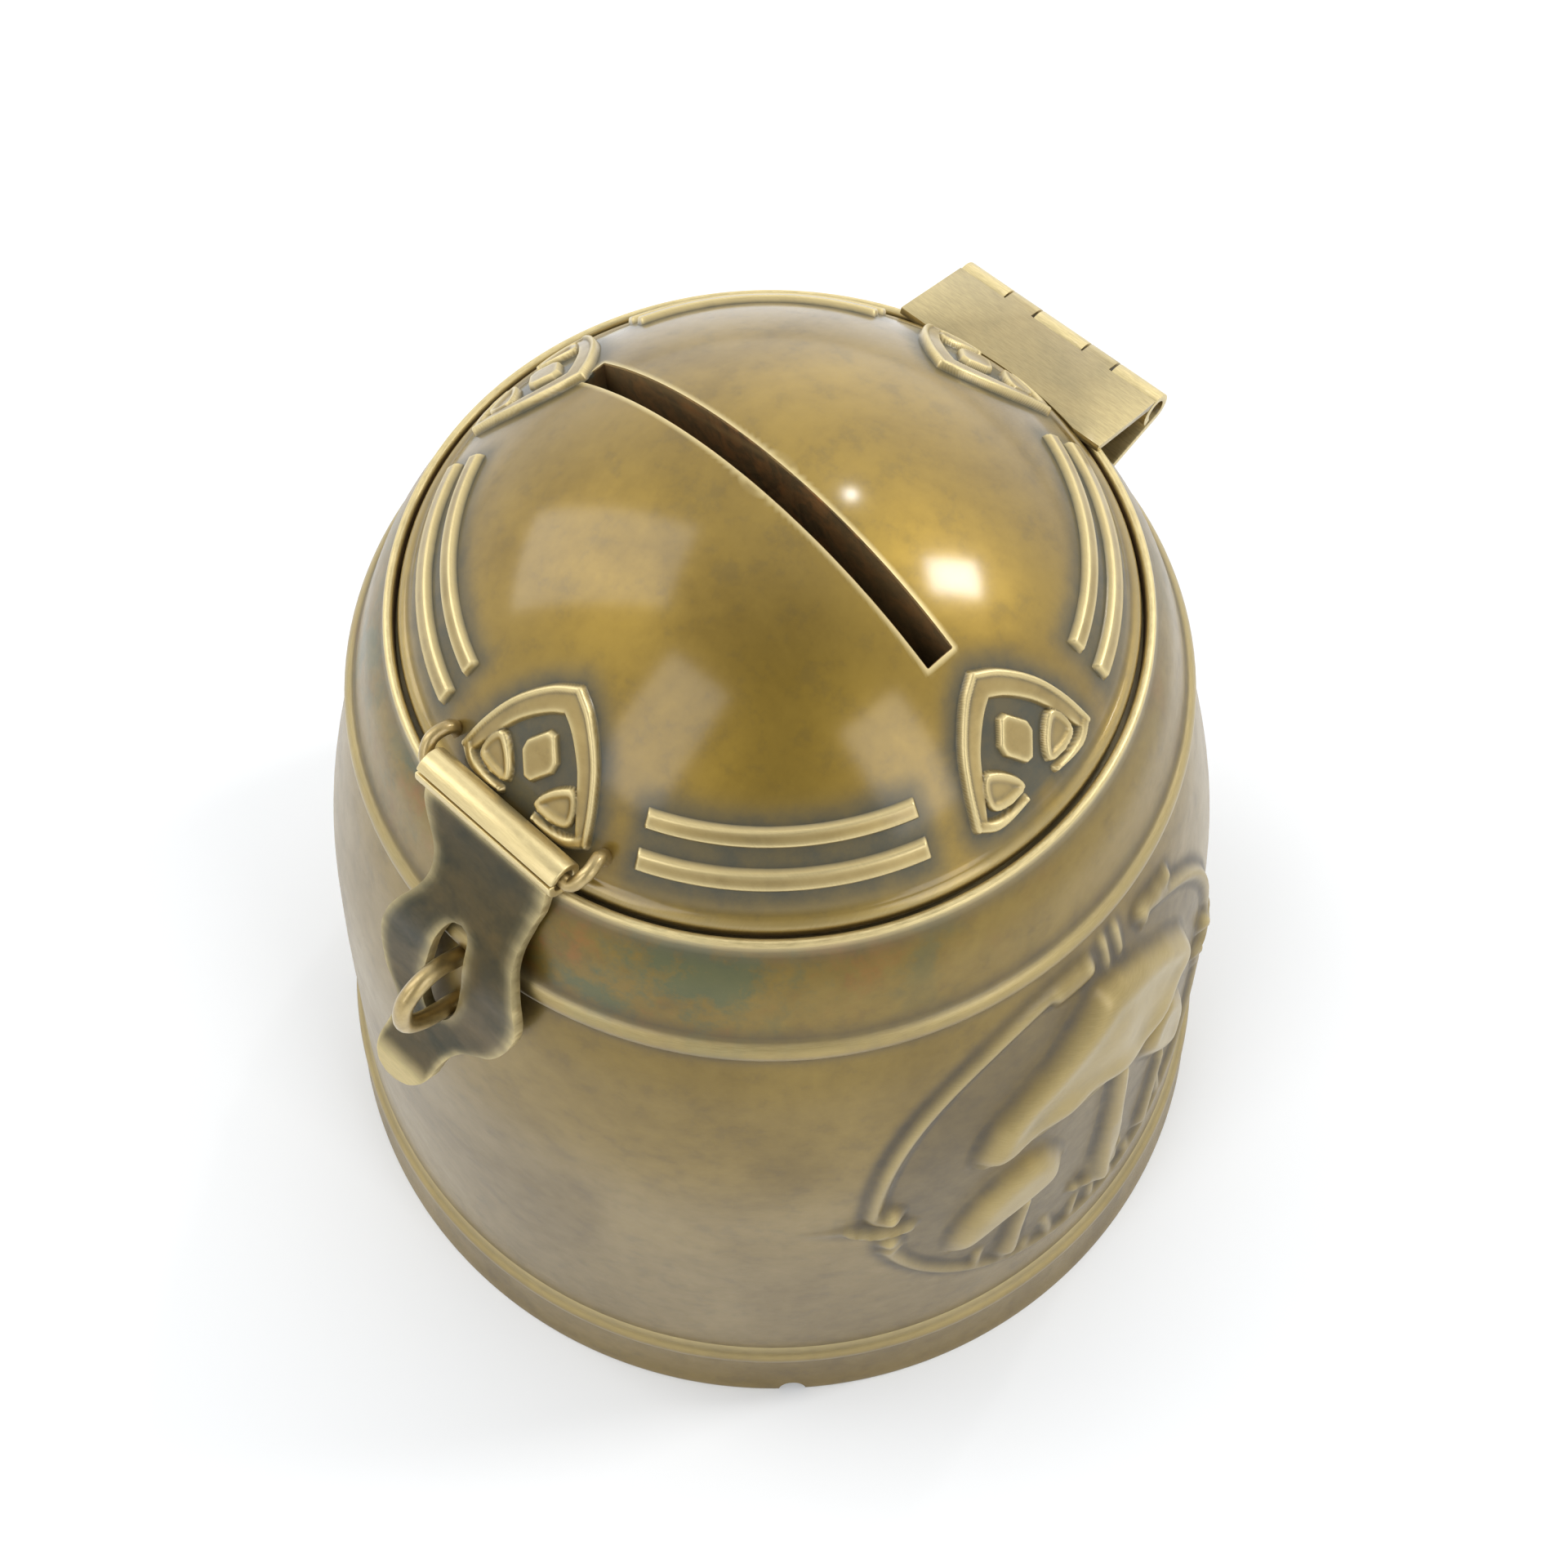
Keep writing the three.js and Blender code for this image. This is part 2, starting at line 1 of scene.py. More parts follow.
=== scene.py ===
# %% [markdown]
# # A pressed brass money box
# The box is a beehive of thin spun brass on a notched foot. It has a domed lid on a hinge, a slot
# for coins, two stamped toadstool medallions, and a hasp that drops over a wire staple. The packed
# model gives every place and size, and this lesson dresses it: finer shapes over the same sizes,
# and old brass on all of them. Blender works in metres, so MM turns millimetres into metres.

# %% Load the frame
import math

import bmesh
import bpy
import numpy as np
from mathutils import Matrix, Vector


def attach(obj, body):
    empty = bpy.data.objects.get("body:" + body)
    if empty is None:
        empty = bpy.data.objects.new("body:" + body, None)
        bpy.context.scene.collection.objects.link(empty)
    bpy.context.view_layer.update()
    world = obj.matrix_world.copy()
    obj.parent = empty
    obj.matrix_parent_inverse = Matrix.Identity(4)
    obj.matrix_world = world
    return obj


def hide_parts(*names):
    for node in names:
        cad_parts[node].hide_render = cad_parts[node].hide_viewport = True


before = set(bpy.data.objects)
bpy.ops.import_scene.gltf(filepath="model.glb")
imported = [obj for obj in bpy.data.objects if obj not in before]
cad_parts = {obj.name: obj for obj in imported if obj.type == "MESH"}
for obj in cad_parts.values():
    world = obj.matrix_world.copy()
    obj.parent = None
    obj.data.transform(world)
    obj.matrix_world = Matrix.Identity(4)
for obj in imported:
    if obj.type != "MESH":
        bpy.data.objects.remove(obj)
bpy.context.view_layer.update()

MM = 0.001

# %% [markdown]
# ## Sizes
# A maker keeps the sizes in one place. These repeat the ones the solid model was built with, in
# millimetres, and heights are measured from the table the box stands on.

# %% Sizes of the box
FOOT_R = 44.9
SEAT_Z = 77.0
LID_R = 28.1
DOME_RISE = 15.35
WALL = 0.8
BEAD_R = 1.3
DOME_R = (LID_R ** 2 + DOME_RISE ** 2) / (2 * DOME_RISE)
DOME_Z = SEAT_Z + DOME_RISE - DOME_R
MOUTH_R = LID_R + 0.5
UPPER_BEAD_R = LID_R + 4.7
UPPER_BEAD_Z = SEAT_Z - 9.7
JOINT_Z = 10.6
JOINT_R = FOOT_R - 1.85
HINGE_Y, HINGE_Z, HINGE_HALF = 35.2, 74.6, 10.3
HASP_Y, HASP_Z, BARREL_HALF = -28.3, 79.9, 6.8
BAIL_R, STAPLE_R = 0.55, 0.75
print("dome radius", round(DOME_R, 2), "mm, its centre at height", round(DOME_Z, 2))


# %% [markdown]
# ## Helpers for the bench
# An operator works on whatever is selected, so each piece starts with nothing selected. The
# helpers below do what a hand does in the window: pick one object, go into edit mode, apply a
# modifier, round an edge, or cut with a tool that is thrown away after.

# %% Selecting, editing and applying
def nothing_selected():
    if bpy.context.object and bpy.context.object.mode != "OBJECT":
        bpy.ops.object.mode_set(mode="OBJECT")
    bpy.ops.object.select_all(action="DESELECT")


def pick(piece):
    nothing_selected()
    piece.select_set(True)
    bpy.context.view_layer.objects.active = piece


def edit(piece):
    pick(piece)
    bpy.ops.object.mode_set(mode="EDIT")
    bpy.ops.mesh.select_all(action="SELECT")


def apply_modifier(piece, kind, **settings):
    pick(piece)
    modifier = piece.modifiers.new(kind.lower(), kind)
    for key, value in settings.items():
        setattr(modifier, key, value)
    bpy.ops.object.modifier_apply(modifier=modifier.name)


def settle(piece, merge=0.004):
    """Merges doubled points, turns every face outwards and puts the place into the mesh."""
    pick(piece)
    bpy.ops.object.transform_apply(location=True, rotation=True, scale=True)
    edit(piece)
    bpy.ops.mesh.remove_doubles(threshold=merge * MM)
    bpy.ops.mesh.normals_make_consistent(inside=False)
    bpy.ops.object.mode_set(mode="OBJECT")


def smooth(piece, angle=35):
    pick(piece)
    bpy.ops.object.shade_smooth_by_angle(angle=math.radians(angle))


def soften(piece, width, segments=2, angle=50):
    """Rounds the edges that turn by more than the angle."""
    apply_modifier(piece, "BEVEL", width=width * MM, segments=segments, limit_method="ANGLE",
                   angle_limit=math.radians(angle))


def cut(piece, tool, how="DIFFERENCE"):
    apply_modifier(piece, "BOOLEAN", object=tool, operation=how, solver="EXACT")
    bpy.data.objects.remove(tool)


def cylinder_tool(radius, long, place, turn=(0, 0, 0), sides=48):
    nothing_selected()
    bpy.ops.mesh.primitive_cylinder_add(vertices=sides, radius=radius * MM, depth=long * MM,
                                        location=[c * MM for c in place], rotation=turn)
    return bpy.context.object


# %% [markdown]
# ## Spinning
# The real shells are spun: a disc of sheet is pressed over a turning former. The Spin tool does the
# same with a line. One point is extruded into the outline of half the wall, and that line is swept
# about the upright axis, in small steps where there is relief to carry and in large steps elsewhere.

# %% A spun piece from its outline
def spun(name, outline, sweeps):
    nothing_selected()
    r0, z0 = outline[0]
    bpy.ops.mesh.primitive_plane_add(size=MM, location=(r0 * MM, 0, z0 * MM))
    piece = bpy.context.object
    piece.name = name
    bpy.ops.object.transform_apply(location=True)
    edit(piece)
    bpy.ops.mesh.merge(type="CENTER")
    for (ra, za), (rb, zb) in zip(outline, outline[1:]):
        step = ((rb - ra) * MM, 0, (zb - za) * MM)
        bpy.ops.mesh.extrude_vertices_move(TRANSFORM_OT_translate={"value": step})
    bpy.ops.mesh.select_all(action="SELECT")
    for steps, angle in sweeps:
        bpy.ops.mesh.spin(steps=steps, angle=math.radians(angle), center=(0, 0, 0), axis=(0, 0, 1))
    settle(piece)
    print(name, "spun:", len(piece.data.polygons), "faces")
    return piece


def arc(r, z, radius, first, last, steps):
    angles = np.radians(np.linspace(first, last, steps + 1))
    return [(r + radius * math.cos(a), z + radius * math.sin(a)) for a in angles]


def flowing(points, steps):
    """A smooth line through the points, with evenly spaced places along it."""
    p = np.array(points, float)
    ends = np.vstack([2 * p[0] - p[1], p, 2 * p[-1] - p[-2]])
    line = []
    for a, b, c, d in zip(ends, ends[1:], ends[2:], ends[3:]):
        for t in np.linspace(0, 1, 24, endpoint=False):
            line.append(0.5 * (2 * b + (c - a) * t + (2 * a - 5 * b + 4 * c - d) * t ** 2
                               + (3 * b - a - 3 * c + d) * t ** 3))
    line = np.array(line + [p[-1]])
    run = np.r_[0, np.cumsum(np.linalg.norm(np.diff(line, axis=0), axis=1))]
    at = np.linspace(0, run[-1], steps + 1)
    return [tuple(np.interp(s, run, line[:, k]) for k in range(line.shape[1])) for s in at]


# %% [markdown]
# ## Stamped relief
# A steel die pushes the ornament out of the sheet. Here each mark of the die is drawn flat, as a
# stroke with a width or as a filled outline, and the drawing says how high every point of the wall
# stands. The heights become a vertex group, and a Displace modifier pushes the wall out by them,
# so the ornament is real shape and not only shading.

# %% Marks of the die
def crown(depth, soft):
    """Rises from the edge of a mark to its full height, soft at the foot and at the top."""
    t = np.clip(depth / soft, 0, 1)
    return t * t * (3 - 2 * t)


def reach(at, a, b):
    """How far each place is from the line between a and b, and how far along it the nearest point is."""
    run = b - a
    t = np.clip(((at - a) @ run) / max(run @ run, 1e-9), 0, 1)
    return np.linalg.norm(at - a - t[:, None] * run, axis=1), t


def stroke(at, points, widths, high, soft=None, grow=0.0):
    """Height of a stroke drawn through points, whose half width follows widths."""
    depth = np.full(len(at), -1.0)
    half = np.ones(len(at)) * widths[0]
    points = [np.array(p, float) for p in points]
    dot = [(points[0], points[0], widths[0], widths[0])]
    for a, b, wa, wb in list(zip(points, points[1:], widths, widths[1:])) or dot:
        far, t = reach(at, a, b)
        w = wa + (wb - wa) * t + grow
        half = np.where(w - far > depth, w, half)
        depth = np.maximum(depth, w - far)
    return high * crown(np.maximum(depth, 0), np.minimum(soft or 99, half))


def filled(at, outline, high, soft, grow=0.0):
    """Height of a filled outline whose edge is rounded over the width soft."""
    ring = np.array(outline, float)
    near = np.full(len(at), 99.0)
    inside = np.zeros(len(at), bool)
    for a, b in zip(ring, np.roll(ring, -1, axis=0)):
        near = np.minimum(near, reach(at, a, b)[0])
        slant = b[1] - a[1] if abs(b[1] - a[1]) > 1e-9 else 1e-9
        crosses = (a[1] > at[:, 1]) != (b[1] > at[:, 1])
        inside ^= crosses & (at[:, 0] < a[0] + (at[:, 1] - a[1]) * (b[0] - a[0]) / slant)
    return high * crown(np.maximum(np.where(inside, near, -near) + grow, 0), soft)


def press(piece, heights):
    """Pushes the wall out along its normals by the heights, in millimetres."""
    most = float(heights.max())
    group = piece.vertex_groups.new(name="relief")
    for i in np.nonzero(heights > 1e-4)[0]:
        group.add([int(i)], float(heights[i]) / most, "REPLACE")
    apply_modifier(piece, "DISPLACE", strength=most * MM, mid_level=0, vertex_group="relief")
    print(piece.name, "pressed:", int((heights > 1e-4).sum()), "points, highest", round(most, 2), "mm")


# %% [markdown]
# ## Wear marks and painted light
# Old brass tells where it has been touched: ridges are rubbed bright and hollows stay dark, the dark
# being patina and painted shade together, and faces that look up can take a painted highlight. The
# helper measures how sharply the surface bends at every point and writes two numbers into the mesh,
# "rub_and_sheen" for ridges and the painted top light, and "grime_and_shade" for hollows. The
# materials read them, and they travel with the mesh.

# %% Measuring ridges and hollows
def places(piece):
    co = np.empty(len(piece.data.vertices) * 3)
    piece.data.vertices.foreach_get("co", co)
    return co.reshape(-1, 3) / MM


def write(piece, name, values):
    old = piece.data.attributes.get(name)
    if old:
        piece.data.attributes.remove(old)
    note = piece.data.attributes.new(name, "FLOAT", "POINT")
    note.data.foreach_set("value", np.ascontiguousarray(values, np.float32))


def neighbours(piece):
    """The two ends of every edge, and how many edges meet at every point."""
    ends = np.empty(len(piece.data.edges) * 2, int)
    piece.data.edges.foreach_get("vertices", ends)
    return ends.reshape(-1, 2), np.bincount(ends, minlength=len(piece.data.vertices))


def spread(piece, values, rounds):
    """Evens the values out between neighbouring points."""
    ends, count = neighbours(piece)
    a, b = ends.T
    for _ in range(rounds):
        total = values + np.bincount(a, values[b], len(values)) + np.bincount(b, values[a], len(values))
        values = total / (count + 1)
    return values


def wear_and_painted_light(piece, ridge=0.7, hollow=0.5, rub_and_sheen_rounds=1, grime_and_shade_rounds=3, rub_and_sheen_gain=1.3, raised=0.0,
         painted_top_light=False):
    """ridge and hollow are the bends, in 1/mm, of full rub and of full grime and painted shade."""
    mesh = piece.data
    co = places(piece)
    no = np.empty(len(co) * 3)
    mesh.vertices.foreach_get("normal", no)
    no = no.reshape(-1, 3)
    ends, count = neighbours(piece)
    bend = np.zeros(len(co))
    for a, b in ((ends[:, 0], ends[:, 1]), (ends[:, 1], ends[:, 0])):
        run = co[b] - co[a]
        far = np.maximum((run ** 2).sum(1), 0.01)
        bend += np.bincount(a, -2 * (run * no[a]).sum(1) / far, len(co))
    bend /= np.maximum(count, 1)
    rub_and_sheen = np.clip((bend - 0.06) / ridge, 0, 1)
    # Painted highlight: painted_top_light keeps the bright rub on faces that look up and takes most of it
    # from faces that look sideways or down.
    if painted_top_light:
        rub_and_sheen *= np.clip(0.2 + 1.1 * no[:, 2], 0.12, 1)
    # The dark of the hollows is patina and painted shade together.
    grime_and_shade = np.clip((-bend - 0.02) / hollow, 0, 1)
    write(piece, "rub_and_sheen", np.clip(np.maximum(spread(piece, rub_and_sheen, rub_and_sheen_rounds) * rub_and_sheen_gain, raised), 0, 1))
    write(piece, "grime_and_shade", np.clip(spread(piece, grime_and_shade, grime_and_shade_rounds) * 1.8, 0, 1))


# %% [markdown]
# ## Beehive body
# One spun shell, bellied and narrowing to a shoulder, with a half-round bead where the barrel meets
# the shoulder. The outline runs from the mouth down the outside, under, and back up the inside. The
# two sides that carry medallions are swept in steps of under half a degree.

# %% Outline of the body
def barrel_side(offset, steps):
    top = UPPER_BEAD_R + 0.6
    span = UPPER_BEAD_Z - 1.5 - JOINT_Z
    swell = JOINT_R - top
    knots = [(0, 0), (0.11, 0.24), (0.31, 0.54), (0.52, 0.71), (0.73, 0.84), (1, 1)]
    return flowing([(top + swell * g + offset, JOINT_Z + span * (1 - d)) for d, g in knots], steps)


rim = arc(MOUTH_R + 0.4, SEAT_Z - 0.02, 0.4, 180, 15, 8)
shoulder = flowing([(MOUTH_R + 0.85, SEAT_Z - 0.5), (MOUTH_R + 2.65, SEAT_Z - 3.5),
                    (UPPER_BEAD_R - 0.05, UPPER_BEAD_Z + 2.3), (UPPER_BEAD_R + 0.2, UPPER_BEAD_Z + 1.6)], 16)
bead = arc(UPPER_BEAD_R, UPPER_BEAD_Z, BEAD_R, 72, -58, 14)
outside = rim + shoulder + bead + barrel_side(0, 138)
inside = [
    (JOINT_R - 0.95, JOINT_Z - 0.2), (JOINT_R - 0.95, 5.2), (JOINT_R - 1.7, 5.2),
    (JOINT_R - 1.7, JOINT_Z + 0.6), *barrel_side(-WALL, 7)[::-1],
    (UPPER_BEAD_R - 0.7, UPPER_BEAD_Z + 1.6), (MOUTH_R + 1.7, SEAT_Z - 3.8),
    (MOUTH_R, SEAT_Z - 2.0), (LID_R - 1.4, SEAT_Z - 2.0), (LID_R - 1.4, SEAT_Z - 1.2),
    (MOUTH_R, SEAT_Z - 1.2), rim[0],
]
LEFT_FINE, RIGHT_FINE, COARSE = (94, 39), (76, 31), (46, 110)  # steps and degrees of each sweep
body = spun("box_body", outside + inside, [LEFT_FINE, COARSE, RIGHT_FINE] * 2)

# %% [markdown]
# ## The toadstool medallion
# The die drew a ribbon bent into an upright oval, tied at both sides by a small curl and a bar. In
# it stand one large toadstool and two small ones over tufts of grass. The drawing is flat, in
# millimetres: the first number runs round the body from the middle of the medallion, the second is
# the height above the table.

# %% Drawing the ribbon and its knots
OVAL_Z, OVAL_HALF, OVAL_TALL = 40.2, 21.55, 22.9
MEDALLION_TURN, MEDALLION_REACH = 4.0, 36  # degrees round the body
MEDALLION_LOW, MEDALLION_HIGH = 14, 65.5


def oval(first, last, steps=70):
    """Points of the oval between two clock angles, degrees from the top, clockwise."""
    return [(OVAL_HALF * math.sin(a), OVAL_Z + OVAL_TALL * math.cos(a))
            for a in np.radians(np.linspace(first, last, steps))]


def ribbon(at):
    marks = []
    for side in (-1, 1):
        top, low = (1.5, 81.5) if side < 0 else (19, 81.5)
        arm = [(side * abs(x), z) for x, z in oval(top, low, 50)]
        if side < 0:
            arm = [(0.6, 62.9)] + arm
        hook = [(side * x, z) for x, z in [(21.7, 42.3), (21.3, 41.0), (20.2, 40.7)]]
        tail = [(side * 19.9, 34.6), (side * 20.9, 34.0)]
        tail += [(side * abs(x), z) for x, z in oval(106, 180, 50)]
        marks.append(stroke(at, arm + hook, [0.95] * len(arm + hook), 0.75))
        marks.append(stroke(at, tail, [0.95] * len(tail), 0.75))
        marks.append(stroke(at, [(side * 20.2, 41.6)], [1.75], 1.35))
        marks.append(stroke(at, [(side * 20.5, 35.9)], [1.4], 1.1))
        marks.append(stroke(at, [(side * 24.0, 39.6), (side * 21.4, 38.8), (side * 18.4, 38.3)],
                            [0.45, 1.0, 0.6], 1.35))
    for x, w in ((2.7, 0.42), (4.3, 0.42)):
        marks.append(stroke(at, [(x, 60.6), (x, 63.6)], [w, w], 0.6))
    marks.append(stroke(at, [(-2.6, 62.2), (0.6, 62.2)], [0.9, 0.9], 0.7, 0.4))
    marks.append(stroke(at, [(7.5, 60.4), (7.5, 62.0), (11.5, 61.2)], [0.55, 0.8, 0.8], 0.7, 0.4))
    return np.max(marks, axis=0)


# %% Drawing the toadstools
BIG_CAP = [(-13.7, 45.4), (-12.6, 48.4), (-10.6, 51.6), (-7.6, 54.0), (-4.3, 56.1), (-1.6, 58.4),
           (0.6, 59.9), (3.0, 60.0), (6.4, 58.6), (10.2, 56.2), (13.4, 53.0), (14.6, 49.8),
           (13.2, 47.4), (9.8, 46.3), (6.7, 45.2), (4.2, 44.3), (1.0, 45.6), (-2.0, 46.2),
           (-5.0, 46.1), (-8.0, 45.5), (-11.0, 44.7)]
LEFT_CAP = [(-16.0, 28.6), (-15.9, 32.0), (-14.9, 35.3), (-12.8, 38.8), (-10.2, 41.4), (-7.6, 42.5),
            (-5.2, 41.8), (-3.6, 39.4), (-2.9, 36.4), (-4.2, 34.2), (-7.0, 33.0), (-9.8, 31.6),
            (-12.6, 29.3), (-14.6, 27.5)]
RIGHT_CAP = [(5.9, 40.4), (6.6, 43.2), (8.6, 45.2), (11.3, 45.4), (13.6, 42.6), (14.7, 38.4),
             (14.0, 34.6), (11.9, 32.4), (9.2, 35.2), (7.2, 38.2)]


def caps(at):
    """The large and the right cap have a steep rolled brim and a shallow dish, the large one a bell in the
    middle; the left cap is plain.
    """
    x, z = at[:, 0], at[:, 1]
    bell = np.exp(-((x - 2.0) / 3.6) ** 2 - ((z - 54.5) / 4.6) ** 2)
    folds = 0.2 * np.cos((x - 2) * 1.05) * np.clip((53 - z) / 6, 0, 1)
    big = filled(at, BIG_CAP, 1.7, 2.0) - filled(at, BIG_CAP, 0.55, 2.6, -1.7)
    big += (big > 0.05) * (0.75 * bell + folds)
    left = filled(at, LEFT_CAP, 1.6, 2.2)
    right = filled(at, RIGHT_CAP, 1.3, 1.8) - filled(at, RIGHT_CAP, 0.3, 1.6, -1.4)
    return np.max([big, left, right], axis=0)


def stems(at):
    x, z = at[:, 0], at[:, 1]
    marks = [stroke(at, [(-12.2, 45.8), (-6, 46.8), (1, 46.8), (4.2, 45.6), (8, 47.0), (12.8, 48.4)],
                    [0.7, 0.9, 1.0, 1.0, 0.9, 0.7], 1.45),
             stroke(at, [(3.2, 44.8), (3.0, 38), (2.6, 30), (1.8, 23.5)], [1.1, 1.5, 2.3, 3.1], 1.35),
             stroke(at, [(-1.6, 24.6), (1.6, 23.6), (4.9, 24.8)], [0.7, 0.9, 0.7], 1.05),
             stroke(at, [(-7.4, 32.4), (-8.4, 27), (-9.2, 22)], [0.9, 1.3, 1.9], 1.1),
             stroke(at, [(11.0, 33.4), (9.8, 27), (8.8, 22)], [0.8, 1.0, 1.5], 0.9)]
    raised = np.max(marks, axis=0)
    flutes = 0.2 * np.cos(x * 3.6) * ((z < 34) & (raised > 0.4) & (np.abs(x - 1.6) < 3))
    return raised + flutes


def grass(at):
    blades = []
    for k in range(10):
        x = -12.6 + 2.75 * k
        tall = 2.3 + 1.2 * math.sin(2.4 * k) + 0.6 * math.sin(5.1 * k)
        lean = 1.1 * math.sin(1.7 * k + 0.6)
        foot = OVAL_Z - OVAL_TALL * math.sqrt(max(0.0, 1 - (x / OVAL_HALF) ** 2)) + 1.0
        blade = [(x, foot), (x + lean * 0.4, foot + tall * 0.6), (x + lean, foot + tall)]
        blades.append(stroke(at, blade, [1.0, 0.7, 0.35], 0.55))
    return np.max(blades, axis=0)


# %% Pressing both medallions
def medallion_heights(piece):
    co = places(piece)
    radius = np.hypot(co[:, 0], co[:, 1])
    broad, crisp, field = np.zeros(len(co)), np.zeros(len(co)), np.zeros(len(co))
    for side in (1, -1):
        turn = np.arctan2(co[:, 1] * side, co[:, 0] * side) + math.radians(MEDALLION_TURN)
        on = (np.abs(turn) < math.radians(MEDALLION_REACH))
        on &= (co[:, 2] > MEDALLION_LOW) & (co[:, 2] < MEDALLION_HIGH)
        outer = np.interp(co[:, 2], *np.array(sorted((z, r) for r, z in barrel_side(0, 60))).T)
        on &= radius > outer - 0.3
        at = np.c_[outer * turn, co[:, 2]][on]
        broad[on] = caps(at)
        crisp[on] = np.maximum(np.maximum(ribbon(at), stems(at)), grass(at))
        field[on] = ((at[:, 0] / OVAL_HALF) ** 2 + ((at[:, 1] - OVAL_Z) / OVAL_TALL) ** 2) < 1
    broad, crisp = spread(piece, broad, 6), spread(piece, crisp, 2)
    marks = np.maximum(broad, crisp)
    field = spread(piece, field * (marks < 0.2), 3)
    return np.where(marks > 0.01, marks, 0), field


heights, field = medallion_heights(body)
press(body, heights)
smooth(body, 60)
# The body's hollows take strong grime_and_shade, patina and painted shade at the feet of the marks, and
# painted_top_light gives the tops of the bead a painted highlight.
wear_and_painted_light(body, ridge=1.0, hollow=0.35, rub_and_sheen_rounds=2, grime_and_shade_rounds=4, rub_and_sheen_gain=1.5,
     raised=0.4 * crown(heights, 1.5), painted_top_light=True)
write(body, "ground_and_shade", field)
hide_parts("body_shell")
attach(body, "box")

# %% [markdown]
# ## Foot ring
# The foot is a second spun ring that takes the body's lower edge. A half-round bead hides the
# joint. The standing edge has four small round nicks, each cut with a cylinder laid across it.

# %% The foot and its four nicks
NICK_R, NICKS = 1.35, 4
bead_z = JOINT_Z - 2.0
foot_outline = [
    (JOINT_R - 0.7, JOINT_Z - 0.25), (JOINT_R - 0.1, JOINT_Z - 0.22),
    *arc(FOOT_R - 2.2, bead_z, BEAD_R, 62, -62, 14),
    *flowing([(FOOT_R - 1.52, bead_z - 1.75), (FOOT_R - 1.2, 4.9), (FOOT_R - 0.62, 2.4),
              (FOOT_R - 0.06, 0.5)], 9),
    (FOOT_R, 0.28), (FOOT_R - 0.12, 0.06), (FOOT_R - 0.4, 0), (FOOT_R - 0.95, 0),
    (FOOT_R - 1.15, 0.2), (FOOT_R - 1.5, 3.0), (FOOT_R - 2.35, bead_z - 2.1), (JOINT_R - 0.7, bead_z - 1.7),
    (JOINT_R - 0.7, JOINT_Z - 0.25),
]
foot = spun("box_foot", foot_outline, [(288, 360)])
for k in range(NICKS):
    angle = math.radians(45 + 360 / NICKS * k)
    cut(foot, cylinder_tool(NICK_R, 9, (FOOT_R * math.cos(angle), FOOT_R * math.sin(angle), 0),
                            (math.pi / 2, 0, angle + math.pi / 2), 40))
settle(foot)
smooth(foot, 45)
# painted_top_light gives the upper side of the foot's bead a painted highlight.
wear_and_painted_light(foot, ridge=1.0, hollow=0.5, rub_and_sheen_rounds=2, painted_top_light=True)
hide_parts("foot_ring")
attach(foot, "box")

# %% [markdown]
# ## Domed lid
# The lid is a spun cap of a sphere with a rolled edge. Rows of points crowd together where the
# ornament lies, near the rim, and are wide apart on the plain crown.

# %% Spinning the lid
def dome(radius, first, last, steps):
    a0, a1 = math.asin(first / radius), math.asin(last / radius)
    return [(0 if first == 0 and i == 0 else radius * math.sin(a), DOME_Z + radius * math.cos(a))
            for i, a in enumerate(np.linspace(a0, a1, steps + 1))]


LEDGE_Z = SEAT_Z - 1.2 + 0.25
lid_outline = [
    *dome(DOME_R, 0, 16, 30), *dome(DOME_R, 16, 27.0, 45)[1:],
    *flowing([(27.3, 78.1), (27.8, 77.86), (28.15, 77.5), (28.25, 77.05), (28.2, 76.6),
              (28.0, 76.2), (27.7, LEDGE_Z + 0.02)], 10),
    (LID_R - 1.3, LEDGE_Z), *dome(DOME_R - WALL, 0, LID_R - 1.5, 16)[::-1],
]
lid = spun("lid_dome", lid_outline, [(560, 360)])

# %% [markdown]
# ## Ornament of the lid
# Four shields point to the crown, and between them lie four pairs of bars. Each shield is one
# band that runs down both sides, turns in at the tips and curls round a small leaf. The drawing is
# made once, as seen from above along +X, and turned to the four quarters.

# %% Drawing a shield and a pair of bars
CREST = flowing([(19.0, 0.0), (19.9, 1.75), (21.6, 3.75), (23.4, 5.05), (25.2, 5.95)], 20)
SLOPE = flowing([(19.75, 0.0), (20.6, 1.55), (22.1, 3.3), (23.8, 4.55), (25.2, 5.5)], 20)
CURL = flowing([(25.2, 5.75), (25.85, 4.7), (26.1, 3.3), (26.15, 1.6)], 12)
LEAF = flowing([(25.55, 1.15), (24.9, 1.35), (24.0, 2.2), (23.35, 3.35), (23.7, 4.1), (24.6, 4.55),
                (25.35, 4.35), (25.75, 3.2), (25.8, 1.8), (25.55, 1.15)], 26)[:-1]
BOSS = [(21.75, -0.35), (21.75, 0.35), (22.95, 1.55), (23.65, 1.55), (24.85, 0.35), (24.85, -0.35),
        (23.65, -1.55), (22.95, -1.55)]


def shield(at, grow=0.0):
    marks = [filled(at, BOSS, 0.6, 0.2, grow)]
    for side in (-1, 1):
        crest, slope, curl, leaf = ([(x, y * side) for x, y in line] for line in (CREST, SLOPE, CURL, LEAF))
        marks += [
            stroke(at, crest, [0.42] * len(crest), 0.7, 0.3, grow),
            stroke(at, slope, np.linspace(0.95, 0.62, len(slope)), 0.5, 0.3, grow),
            stroke(at, curl, np.linspace(0.5, 0.3, len(curl)), 0.62, 0.3, grow),
            filled(at, leaf, 0.62, 0.2, grow) - filled(at, leaf, 0.2, 0.35, grow - 0.4),
        ]
    return np.max(marks, axis=0)


